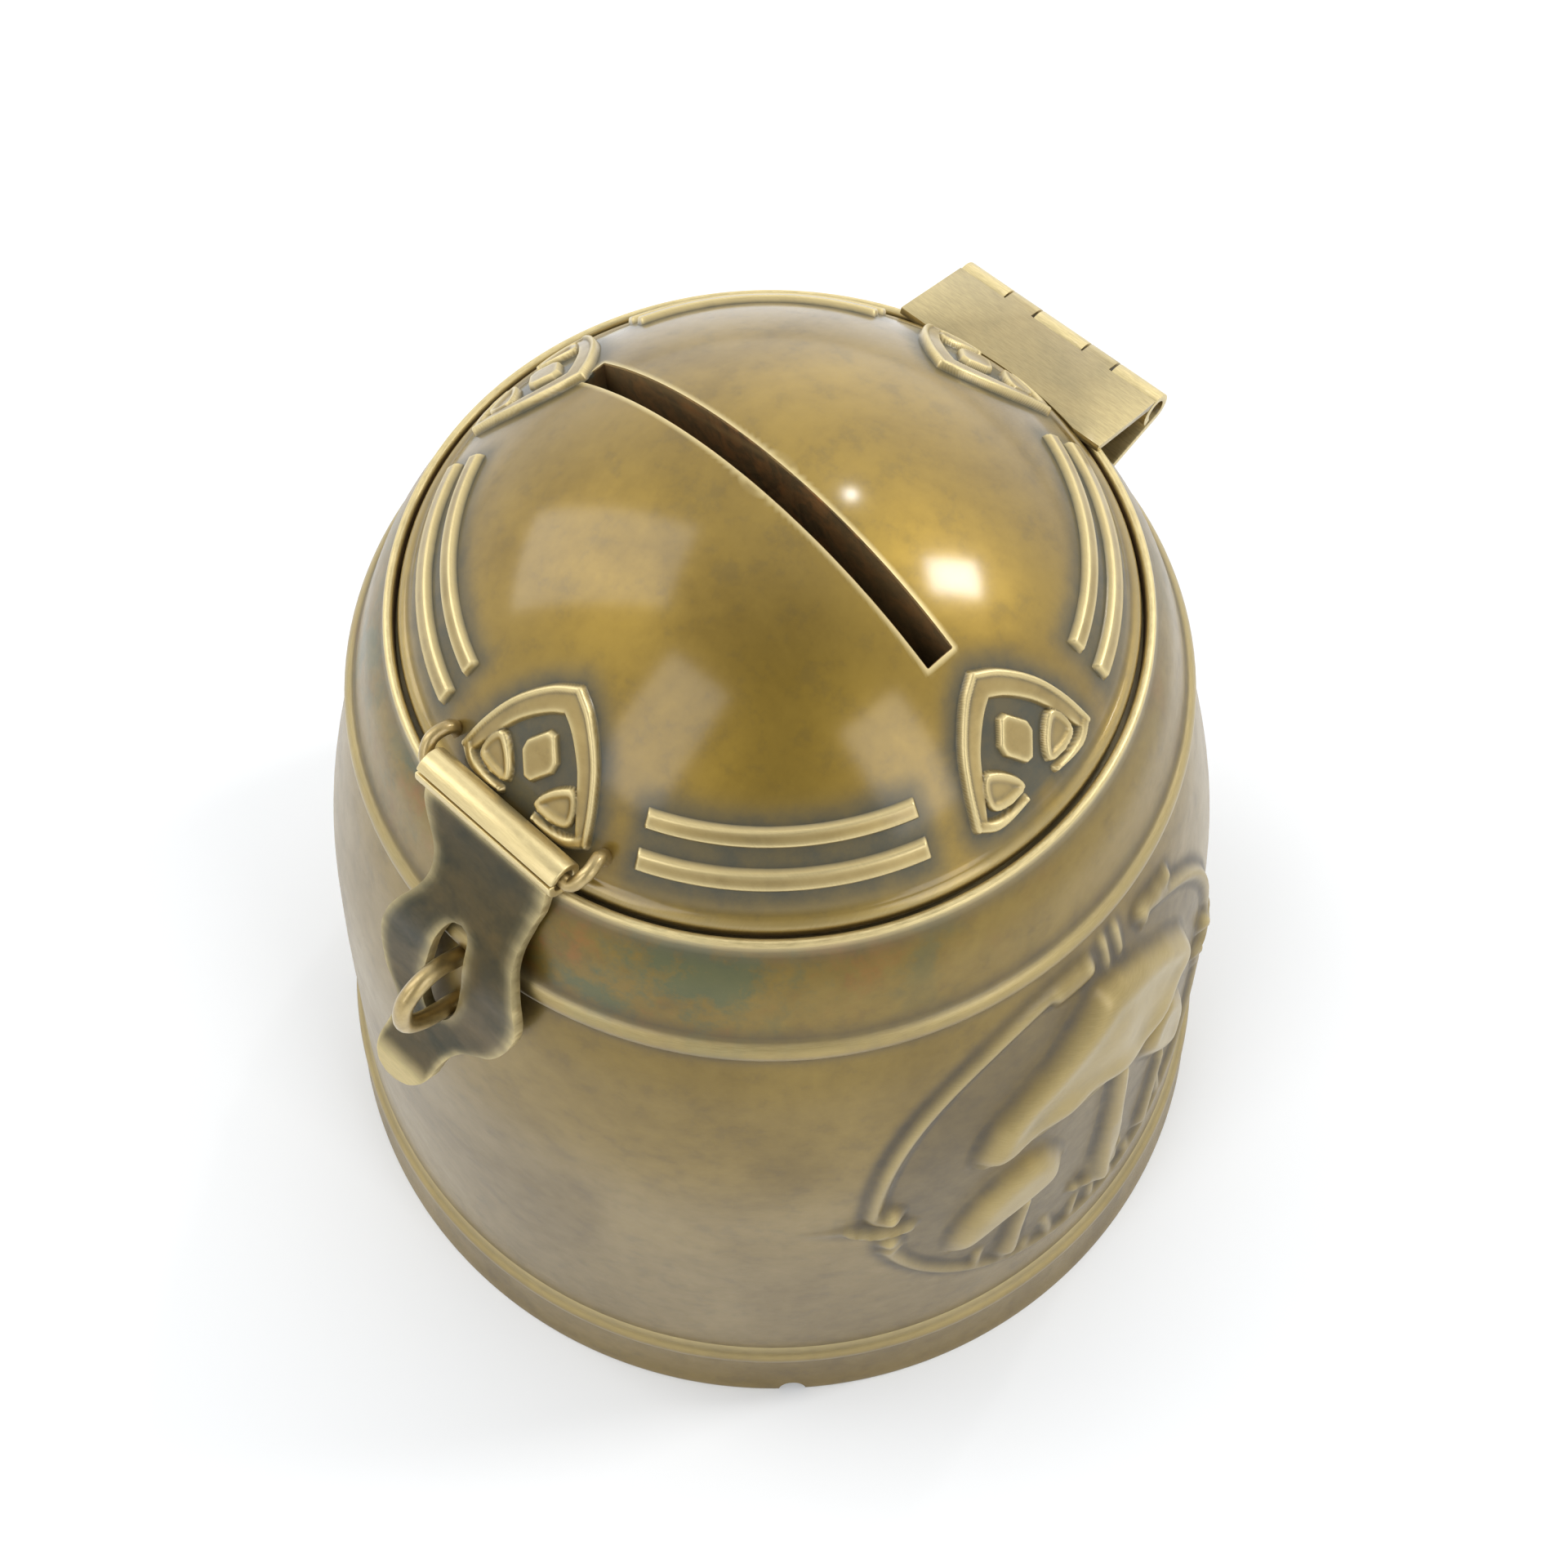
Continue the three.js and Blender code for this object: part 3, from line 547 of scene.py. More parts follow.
def bars(at, grow=0.0):
    radius = np.hypot(at[:, 0], at[:, 1])
    away = np.abs(np.degrees(np.arctan2(at[:, 1], at[:, 0]))) - 23.5
    along = -away * radius * math.pi / 180
    marks = [0.6 * crown(np.clip(np.minimum(along, 0.62 - np.abs(radius - r)) + grow, 0, 9), 0.26)
             for r in (23.45, 25.6)]
    return np.max(marks, axis=0)


# %% [markdown]
# The marks are so crisp that they need a much finer mesh than the dome. Each shield and each pair of
# bars is therefore its own patch of small squares, laid on the dome and lifted by the drawing. What
# the die left flat is deleted, and Solidify closes the patch underneath, inside the lid's wall.

# %% Laying a patch on the dome
def dome_patch(name, marks, x0, x1, half, cell, bent=False):
    """A grid from x0 to x1 and half to either side. A bent grid runs round the dome like the bars."""
    nothing_selected()
    cols, rows = round((x1 - x0) / cell), round(2 * half / cell)
    bpy.ops.mesh.primitive_grid_add(x_subdivisions=cols, y_subdivisions=rows, size=1)
    piece = bpy.context.object
    piece.name = name
    flat = places(piece)[:, :2] * MM + 0.5
    flat = np.c_[x0 + (x1 - x0) * flat[:, 0], half * (2 * flat[:, 1] - 1)]
    if bent:
        turn = flat[:, 1] / x1
        flat = np.c_[flat[:, 0] * np.cos(turn), flat[:, 0] * np.sin(turn)]
    high = marks(flat)
    even = high.reshape(rows + 1, cols + 1)
    for _ in range(round(0.5 / cell ** 2 * 0.3)):
        even = (4 * even + np.roll(even, 1, 0) + np.roll(even, -1, 0)
                + np.roll(even, 1, 1) + np.roll(even, -1, 1)) / 8
    even = even.ravel()
    # Crests are rubbed bright. What lies below its neighbours darkens as patina and painted shade, and the
    # low foot of every mark takes ground_and_shade, painted shade along with the dark ground.
    write(piece, "rub_and_sheen", np.clip((high - even) / 0.13, 0, 1))
    write(piece, "grime_and_shade", np.clip((even - high) / 0.12, 0, 1) * 0.9)
    write(piece, "ground_and_shade", np.clip(1 - high / 0.16, 0, 1))
    rise = np.sqrt(DOME_R ** 2 - (flat ** 2).sum(1))
    out = np.c_[flat, rise] / DOME_R
    skin = out * (DOME_R + high[:, None] - 0.06) + [0, 0, DOME_Z]
    piece.data.vertices.foreach_set("co", (skin * MM).ravel())
    low = set(np.nonzero(high < 0.015)[0].tolist())
    edit(piece)
    mesh = bmesh.from_edit_mesh(piece.data)
    bpy.ops.mesh.select_all(action="DESELECT")
    for face in mesh.faces:
        face.select = all(v.index in low for v in face.verts)
    bmesh.update_edit_mesh(piece.data)
    bpy.ops.mesh.delete(type="FACE")
    bpy.ops.object.mode_set(mode="OBJECT")
    apply_modifier(piece, "SOLIDIFY", thickness=0.3 * MM, offset=-1)
    settle(piece, 0.001)
    smooth(piece, 60)
    return piece


def turned_copies(first, name, step, count=4):
    """Turns the first piece to its place and copies it round, each copy with its own mesh."""
    copies = [first]
    for k in range(1, count):
        pick(first)
        bpy.ops.object.duplicate()
        copies.append(bpy.context.object)
    for k, piece in enumerate(copies):
        pick(piece)
        piece.name = f"{name}_{k + 1}"
        bpy.ops.transform.rotate(value=-math.radians(step + 90 * k), orient_axis="Z",
                                 center_override=(0, 0, 0))
        bpy.ops.object.transform_apply(location=True, rotation=True, scale=True)
    return copies


shields = turned_copies(dome_patch("shield", shield, 17.9, 26.9, 7.0, 0.1), "lid_shield", 0)
pairs = turned_copies(dome_patch("bars", bars, 22.4, 26.7, 11.6, 0.12, bent=True), "lid_bars", 45)
for piece in shields + pairs:
    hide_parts("lid_shell")
    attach(piece, "lid")
print("patches:", [(p.name, len(p.data.polygons)) for p in (shields[0], pairs[0])])


# %% [markdown]
# The dark round the marks is painted shade, laid on the dome itself in a soft band round each mark.
# The same drawing is asked for again, grown a little wider, and its heights become the dome's
# grime_and_shade and ground_and_shade: painted shade round the marks and the dark ground inside the shields.

# %% Painted shade and dark ground round the marks
def lid_marks(co, grow):
    radius = np.hypot(co[:, 0], co[:, 1])
    skin = DOME_Z + np.sqrt(np.maximum(DOME_R ** 2 - radius ** 2, 0))
    top = (np.abs(co[:, 2] - skin) < 0.2) & (radius > 17)
    marks, field = np.zeros(len(co)), np.zeros(len(co))
    for k in range(8):
        a = math.radians(45 * k)
        at = np.c_[co[:, 0] * math.cos(a) + co[:, 1] * math.sin(a),
                   co[:, 1] * math.cos(a) - co[:, 0] * math.sin(a)]
        on = top & (at[:, 0] > 16) & (np.abs(at[:, 1]) < 11.5)
        marks[on] = np.maximum(marks[on], (bars if k % 2 else shield)(at[on], grow))
        if k % 2 == 0:
            within = filled(at[on], [(20, 0), (24.4, 4.8), (26.6, 1.5), (26.6, -1.5), (24.4, -4.8)], 1, 0.3)
            field[on] = np.maximum(field[on], within)
    return marks, field


# %% [markdown]
# ## Coin slot
# The slot is sheared through the crown, a little off the middle and a little askew to the hinge. A
# block the size of the slot is taken away from the lid.

# %% Shearing the slot
COIN_LONG, COIN_WIDE, COIN_SHIFT, COIN_TURN = 36.0, 2.5, -1.0, -3.0


def slot_block(name, long, wide, middle=86, tall=24):
    nothing_selected()
    bpy.ops.mesh.primitive_cube_add(size=MM, location=(COIN_SHIFT * MM, 0, middle * MM),
                                    rotation=(0, 0, math.radians(COIN_TURN)), scale=(long, wide, tall))
    bpy.context.object.name = name
    return bpy.context.object


cutter = slot_block("cutter", COIN_LONG, COIN_WIDE, 88, 20)
soften(cutter, 0.12, angle=30)
cut(lid, cutter)
settle(lid)
smooth(lid, 42)
wear_and_painted_light(lid, ridge=1.6, hollow=0.35)


def from_slot(co):
    """Distance of each place from the slot, seen from above."""
    a = math.radians(COIN_TURN)
    x, y = co[:, 0] - COIN_SHIFT, co[:, 1]
    u, v = x * math.cos(a) + y * math.sin(a), y * math.cos(a) - x * math.sin(a)
    return np.hypot(np.maximum(np.abs(u) - COIN_LONG / 2, 0), np.maximum(np.abs(v) - COIN_WIDE / 2, 0))


shade_halo, field = lid_marks(places(lid), 0.95)
near = lid_marks(places(lid), 0.25)[0]
# shade_halo is painted shade: a soft dark band on the dome round every mark, darkest at its foot.
shade_halo = np.maximum(spread(lid, np.clip(shade_halo / 0.5, 0, 1), 12) * 0.95, np.clip(near / 0.4, 0, 1))
write(lid, "ground_and_shade", np.maximum(field, np.clip(shade_halo, 0, 1)))
write(lid, "grime_and_shade", np.clip(near / 0.4, 0, 1) * 0.9)
write(lid, "lip", np.clip(1.15 - from_slot(places(lid)) / 0.35, 0, 1) * (places(lid)[:, 2] > 80))
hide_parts("lid_shell")
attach(lid, "lid")
print("lid:", len(lid.data.polygons), "faces after the slot")


# %% [markdown]
# The edges of the slot are turned down inside, so that a coin can't be coaxed back out. That turned
# strip is what shows in the slot from above. It is a frame of sheet, kept between two spheres.

# %% The turned strip in the slot
def ball_tool(radius, z):
    nothing_selected()
    bpy.ops.mesh.primitive_uv_sphere_add(segments=128, ring_count=64, radius=radius * MM,
                                         location=(0, 0, z * MM))
    return bpy.context.object


slot_strip = slot_block("slot_strip", COIN_LONG + 0.9, COIN_WIDE + 0.9)
cut(slot_strip, ball_tool(DOME_R - 0.1, DOME_Z), "INTERSECT")
cut(slot_strip, ball_tool(DOME_R - 6.5, DOME_Z))
cut(slot_strip, slot_block("slot_gap", COIN_LONG - 0.16, COIN_WIDE - 0.16))
settle(slot_strip)
smooth(slot_strip, 40)
wear_and_painted_light(slot_strip)
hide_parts("lid_shell")
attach(slot_strip, "lid")
print("slot strip:", len(slot_strip.data.polygons), "faces")


# %% [markdown]
# ## Flat outlines pulled along X
# The hinge leaves are folded from strip. A ring of points is laid on the outline of the strip's
# section, filled, and pulled along the hinge line.

# %% A strip from its section
def strip(name, section, x0, x1):
    nothing_selected()
    bpy.ops.mesh.primitive_circle_add(vertices=len(section), radius=MM, fill_type="NGON")
    piece = bpy.context.object
    piece.name = name
    for v, (y, z) in zip(piece.data.vertices, section):
        v.co = (x0 * MM, y * MM, z * MM)
    edit(piece)
    pull = {"value": ((x1 - x0) * MM, 0, 0)}
    bpy.ops.mesh.extrude_region_move(TRANSFORM_OT_translate=pull)
    settle(piece)
    return piece


def hinge_rod(radius, x0, x1, sides=48):
    return cylinder_tool(radius, x1 - x0, ((x0 + x1) / 2, HINGE_Y, HINGE_Z), (0, math.pi / 2, 0), sides)


# %% [markdown]
# ## Hinge
# Each leaf is a strip whose outer edge is rolled round the pin. The roll is left open, so the ends
# show a dark hole. The other leaf's knuckles are then cut out of it, and the inner edge is cut to
# the curve of the shell it is soldered to.

# %% Section of a rolled leaf
KNUCKLE_R, LEAF_T, PIN_R, ROLL_DEG = 1.5, 0.62, 0.62, 290


def leaf_section(slope, long, above):
    """The strip leaves the roll at a tangent. above is 1 for a leaf on top of the pin, -1 under it."""
    a = math.radians(slope)
    run = np.array([-math.cos(a), above * math.sin(a)])
    up = np.array([run[1] * -above, run[0] * above]) * -1
    start = math.degrees(math.atan2(up[1], up[0]))
    inner_r = KNUCKLE_R - LEAF_T
    points = [*arc(0, 0, KNUCKLE_R, start, start - above * ROLL_DEG, 43),
              *arc(0, 0, inner_r, start - above * ROLL_DEG, start, 35),
              tuple(run * long + up * inner_r), tuple(run * long + up * KNUCKLE_R)]
    return [(HINGE_Y + y, HINGE_Z + z) for y, z in points]


BODY_SPANS = [(-10.3, -5.7), (-2.5, 2.5), (5.7, 10.3)]
LID_SPANS = [(-5.5, -2.7), (2.7, 5.5)]


def leaf(name, slope, long, above, others):
    piece = strip(name, leaf_section(slope, long, above), -HINGE_HALF, HINGE_HALF)
    for x0, x1 in others:
        cut(piece, hinge_rod(KNUCKLE_R + 0.2, x0 - 0.2, x1 + 0.2))
    return piece


def drum_tool(radius, z0, z1):
    return cylinder_tool(radius, z1 - z0, (0, 0, (z0 + z1) / 2), sides=160)


# %% The two leaves and the pin
lid_leaf = leaf("hinge_leaf_lid", 12.5, 8.7, 1, BODY_SPANS)
cut(lid_leaf, drum_tool(28.1, 60, 95))
cut(lid_leaf, ball_tool(DOME_R + 0.12, DOME_Z))
cut(lid_leaf, drum_tool(LID_R + 0.12, 60, SEAT_Z + 0.4))
body_leaf = leaf("hinge_leaf_body", 15, 7.0, -1, LID_SPANS)
core = spun("core", [(0, SEAT_Z + 3), *[(r + 0.12, z) for r, z in rim[4:] + shoulder + bead], (0, 60)],
            [(120, 360)])
cut(body_leaf, core)
for piece, node, where in ((lid_leaf, "hinge_lid_leaf", "lid"), (body_leaf, "hinge_body_leaf", "box")):
    settle(piece, 0.02)
    soften(piece, 0.14)
    settle(piece, 0.005)
    smooth(piece, 40)
    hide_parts(node)
    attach(piece, where)
    print(piece.name, len(piece.data.polygons), "faces")
pin = hinge_rod(PIN_R, -HINGE_HALF + 0.9, HINGE_HALF - 0.9, 32)
pin.name = "hinge_wire"
settle(pin)
soften(pin, 0.2, 3, 30)
smooth(pin)
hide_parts("hinge_pin")
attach(pin, "box")


# %% [markdown]
# ## Bent wire
# The staple and the bail are brass wire. A curve with a round bevel is exactly that: a path with a
# thickness. It is turned into a mesh at the end so that it exports like the other pieces.

# %% Wire along a path
def bent_wire(name, points, radius):
    nothing_selected()
    bpy.ops.curve.primitive_bezier_curve_add()
    piece = bpy.context.object
    piece.name = name
    piece.data.splines.clear()
    line = piece.data.splines.new("POLY")
    path = flowing(points, 96)
    line.points.add(len(path) - 1)
    for p, (x, y, z) in zip(line.points, path):
        p.co = (x * MM, y * MM, z * MM, 1)
    piece.data.dimensions = "3D"
    piece.data.bevel_depth = radius * MM
    piece.data.bevel_resolution = 6
    piece.data.use_fill_caps = True
    bpy.ops.object.convert(target="MESH")
    piece = bpy.context.object
    settle(piece)
    smooth(piece, 60)
    return piece


bx, by, bz = BARREL_HALF + 0.62, HASP_Y, HASP_Z
bail_half = [(bx + 0.1, by + 3.5, bz - 2.4), (bx + 0.15, by + 3.0, bz + 0.5),
             (bx + 0.45, by + 1.3, bz + 0.75), (bx - 0.1, by + 0.1, bz), (bx - 1.2, by, bz)]
bail = bent_wire("bail_wire", [(-x, y, z) for x, y, z in bail_half] + [(0, by, bz)] + bail_half[::-1],
                 BAIL_R)
sy, sz = -(UPPER_BEAD_R + 0.6), UPPER_BEAD_Z
loop = [(1.4, -2.7), (-0.6, -1.5), (-3.6, 0.2), (-6.4, -0.5), (-7.2, -3.3), (-5.6, -5.7), (-2.4, -7.5),
        (-0.4, -8.5)]
staple = bent_wire("staple_wire", [(0, sy + y, sz + z) for y, z in loop], STAPLE_R)
for piece, node, where in ((bail, "hasp_bail", "lid"), (staple, "staple", "box")):
    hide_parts(node)
    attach(piece, where)

# %% [markdown]
# ## Hasp plate
# The plate is a waisted strap with two lobes, an eye for the staple and a thick thumb tab. A grid is
# widened and narrowed row by row to that outline, two columns are parted to leave the eye, and the
# rows are laid down the bent run of the plate. Solidify gives the sheet and Bevel its worn rims.

# %% Laying out the strap
RUN = [(-0.95, -0.3), (-2.6, -4.2), (-6.2, -10.6), (-7.4, -14.8), (-8.7, -19.6), (-10.6, -25.0),
       (-13.4, -31.2)]
SIDE = [(0.0, 6.45), (1.2, 6.4), (2.8, 6.0), (4.8, 5.2), (7.0, 4.9), (9.2, 5.3), (11.4, 6.3),
        (13.8, 7.2), (16.4, 7.6), (19.0, 7.2), (21.4, 6.2), (22.8, 4.9), (24.0, 3.9), (25.8, 3.3),
        (28.0, 3.1), (30.0, 3.05), (31.4, 2.7), (32.7, 1.8), (33.3, 0.5)]
LEAN = [(0.0, 0.0), (1.6, 0.1), (6.0, 0.9), (12.0, 0.2), (18.0, -0.4), (23.0, -1.0), (28.0, -2.4),
        (33.3, -3.5)]
LEFT_LOBE, SHEET_T, TAB_LONG = 0.9, 1.45, 4.0
EYE = [(9.2, 0.0), (9.5, 0.7), (10.6, 1.2), (13.0, 1.6), (16.0, 1.85), (19.0, 1.9), (21.2, 1.5),
       (22.4, 0.8), (22.8, 0.0)]
ROWS, COLS = 120, 24


def strap():
    nothing_selected()
    bpy.ops.mesh.primitive_grid_add(x_subdivisions=COLS, y_subdivisions=ROWS, size=MM)
    piece = bpy.context.object
    piece.name = "hasp_strap"
    run = np.array(flowing([(HASP_Y + y, HASP_Z + z) for y, z in RUN], ROWS))
    long = np.r_[0, np.cumsum(np.linalg.norm(np.diff(run, axis=0), axis=1))]
    side, eye = np.array(flowing(SIDE, 200)), np.array(flowing(EYE, 80))
    half = np.interp(long / long[-1] * side[-1, 0], side[:, 0], side[:, 1])
    lean = np.interp(long / long[-1] * side[-1, 0], *np.array(flowing(LEAN, 60)).T)
    gap = np.interp(long, eye[:, 0], eye[:, 1], left=0, right=0)
    for row in range(ROWS + 1):
        for col in range(COLS + 1):
            u = (col - COLS / 2) / (COLS / 2)
            edge = max(gap[row], 0.02)
            broad = half[row] * (LEFT_LOBE if u < 0 else 1)
            x = math.copysign(edge + (broad - edge) * (abs(u) * COLS / 2 - 1) / (COLS / 2 - 1), u)
            x = (0 if u == 0 else x) + lean[row]
            piece.data.vertices[row * (COLS + 1) + col].co = (x * MM, *(run[row] * MM))
    bpy.ops.object.mode_set(mode="EDIT")
    mesh = bmesh.from_edit_mesh(piece.data)
    mesh.faces.ensure_lookup_table()
    for face in mesh.faces:
        row, col = divmod(face.index, COLS)
        face.select = gap[row] + gap[min(row + 1, ROWS)] > 0.05 and col in (COLS // 2 - 1, COLS // 2)
    bmesh.update_edit_mesh(piece.data)
    bpy.ops.mesh.delete(type="FACE")
    bpy.ops.object.mode_set(mode="OBJECT")
    return piece


hasp = strap()
stock = hasp.vertex_groups.new(name="stock")
lowest = places(hasp)[:, 2].min()
for i, z in enumerate(places(hasp)[:, 2]):
    stock.add([i], float(np.interp(z - lowest, [0, 1.5, 3.5], [1.0, 0.95, 0.66])), "REPLACE")
apply_modifier(hasp, "SOLIDIFY", thickness=SHEET_T * MM, offset=0, use_even_offset=True,
               vertex_group="stock")
soften(hasp, 0.36, 4)
settle(hasp, 0.01)
smooth(hasp, 55)
tab = np.clip(1 - (places(hasp)[:, 2] - lowest) / TAB_LONG, 0, 1)
wear_and_painted_light(hasp, ridge=0.9, hollow=0.5, rub_and_sheen_rounds=3, rub_and_sheen_gain=2.2, raised=0.85 * crown(tab, 0.6))

# %% [markdown]
# ## Hasp barrel
# The top of the strap is rolled round the bail into a barrel. The free edge of the roll shows as a
# thin seam along its lower front.

# %% Rolling the barrel
BARREL_R, BORE_R, SEAM_DEG, WRAP_DEG = 1.5, 0.88, 155, 351
roll = [*arc(HASP_Y, HASP_Z, BARREL_R, SEAM_DEG, SEAM_DEG + WRAP_DEG, 59),
        *arc(HASP_Y, HASP_Z, BORE_R, SEAM_DEG + WRAP_DEG, SEAM_DEG, 47)]
barrel = strip("hasp_barrel", roll, -BARREL_HALF, BARREL_HALF)
soften(barrel, 0.22, 3)
settle(barrel, 0.005)
smooth(barrel, 45)
for piece in (hasp, barrel):
    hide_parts("hasp")
    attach(piece, "hasp_plate")
for piece in (lid_leaf, body_leaf, barrel):
    wear_and_painted_light(piece, ridge=0.9, hollow=0.6, rub_and_sheen_rounds=2)

# %% [markdown]
# ## What old brass is made of
# Brass left to age is not one colour. Under the hand's polish it is straw yellow, and it turns olive
# and then brown where the film of tarnish is thick. The tarnish lies in clouds, the polish left fine
# scratches, and green or orange stains grow near steel and joints. The clouds and the scratches are
# each a small group of nodes with its own sizes, so every material can use it with other values.

# %% Node helpers
def new_group(name, inputs, outputs):
    group = bpy.data.node_groups.new(name, "ShaderNodeTree")
    for label, kind, value in inputs:
        socket = group.interface.new_socket(label, in_out="INPUT", socket_type=kind)
        if value is not None:
            socket.default_value = value
    for label, kind in outputs:
        group.interface.new_socket(label, in_out="OUTPUT", socket_type=kind)
    return group, group.nodes.new("NodeGroupInput"), group.nodes.new("NodeGroupOutput")


def add(tree, kind, links=None, **settings):
    node = tree.nodes.new(kind)
    for key, value in settings.items():
        setattr(node, key, value)
    for label, source in (links or {}).items():
        socket = node.inputs[label]
        if hasattr(source, "links"):
            tree.links.new(source, socket)
        else:
            socket.default_value = source
    return node


def maths(tree, what, a, b, clamp=False):
    return add(tree, "ShaderNodeMath", {0: a, 1: b}, operation=what, use_clamp=clamp).outputs[0]


def spread_between(tree, value, low, high, new_low=0.0, new_high=1.0):
    links = {"Value": value, "From Min": low, "From Max": high, "To Min": new_low, "To Max": new_high}
    return add(tree, "ShaderNodeMapRange", links, clamp=True).outputs[0]


def mixed(tree, factor, a, b):
    node = add(tree, "ShaderNodeMix", data_type="RGBA")
    for socket, source in ((node.inputs[0], factor), (node.inputs[6], a), (node.inputs[7], b)):
        if hasattr(source, "links"):
            tree.links.new(source, socket)
        else:
            socket.default_value = source
    return node.outputs[2]


# %% Group: clouds of tarnish
NUMBER, PLACE = "NodeSocketFloat", "NodeSocketVector"


def clouds_group():
    g, i, o = new_group("tarnish clouds", [("Vector", PLACE, None), ("Size", NUMBER, 60.0),
                                           ("Fine", NUMBER, 420.0)],
                        [("Broad", NUMBER), ("Mottle", NUMBER)])
    broad = add(g, "ShaderNodeTexNoise", {"Vector": i.outputs[0], "Scale": i.outputs[1],
                                          "Detail": 5.0, "Roughness": 0.6, "Distortion": 0.7})
    fine = add(g, "ShaderNodeTexNoise", {"Vector": i.outputs[0], "Scale": i.outputs[2],
                                         "Detail": 6.0, "Roughness": 0.65})
    g.links.new(spread_between(g, broad.outputs[0], 0.34, 0.68), o.inputs[0])
    g.links.new(spread_between(g, fine.outputs[0], 0.36, 0.66), o.inputs[1])
    return g


# %% Group: polishing scratches
def scratches_group():
    g, i, o = new_group("polish scratches", [("Vector", PLACE, None), ("Scale", NUMBER, 900.0),
                                             ("Stretch", PLACE, (1.0, 1.0, 30.0))],
                        [("Hair", NUMBER), ("Pits", NUMBER)])
    pulled = add(g, "ShaderNodeVectorMath", {0: i.outputs[0], 1: i.outputs[2]}, operation="MULTIPLY")
    hair = add(g, "ShaderNodeTexNoise", {"Vector": pulled.outputs[0], "Scale": i.outputs[1], "Detail": 3.0,
                                         "Roughness": 0.7})
    pits = add(g, "ShaderNodeTexVoronoi", {"Vector": i.outputs[0], "Scale": 620.0})
    g.links.new(spread_between(g, hair.outputs[0], 0.3, 0.7), o.inputs[0])
    g.links.new(spread_between(g, pits.outputs[0], 0.16, 0.05), o.inputs[1])
    return g


CLOUDS, SCRATCHES = clouds_group(), scratches_group()


# %% [markdown]
# ## The brass itself
# One function lays the layers in the order they came: clean brass, a tarnish film in clouds, grime
# and painted shade in hollows, round the lid's marks and on the stamped ground, then bright rubbed
# ridges on top, with a painted highlight on upward faces where the mesh carries one. The numbers in a
# finish say how much of each layer a piece has, and the gloss goes with it: rubbed metal is smoother.

# %% Laying the finish
SLATE, STRAW = (0.058, 0.062, 0.046), (0.72, 0.59, 0.30)
VERDIGRIS, RUST = (0.075, 0.105, 0.05), (0.27, 0.105, 0.018)


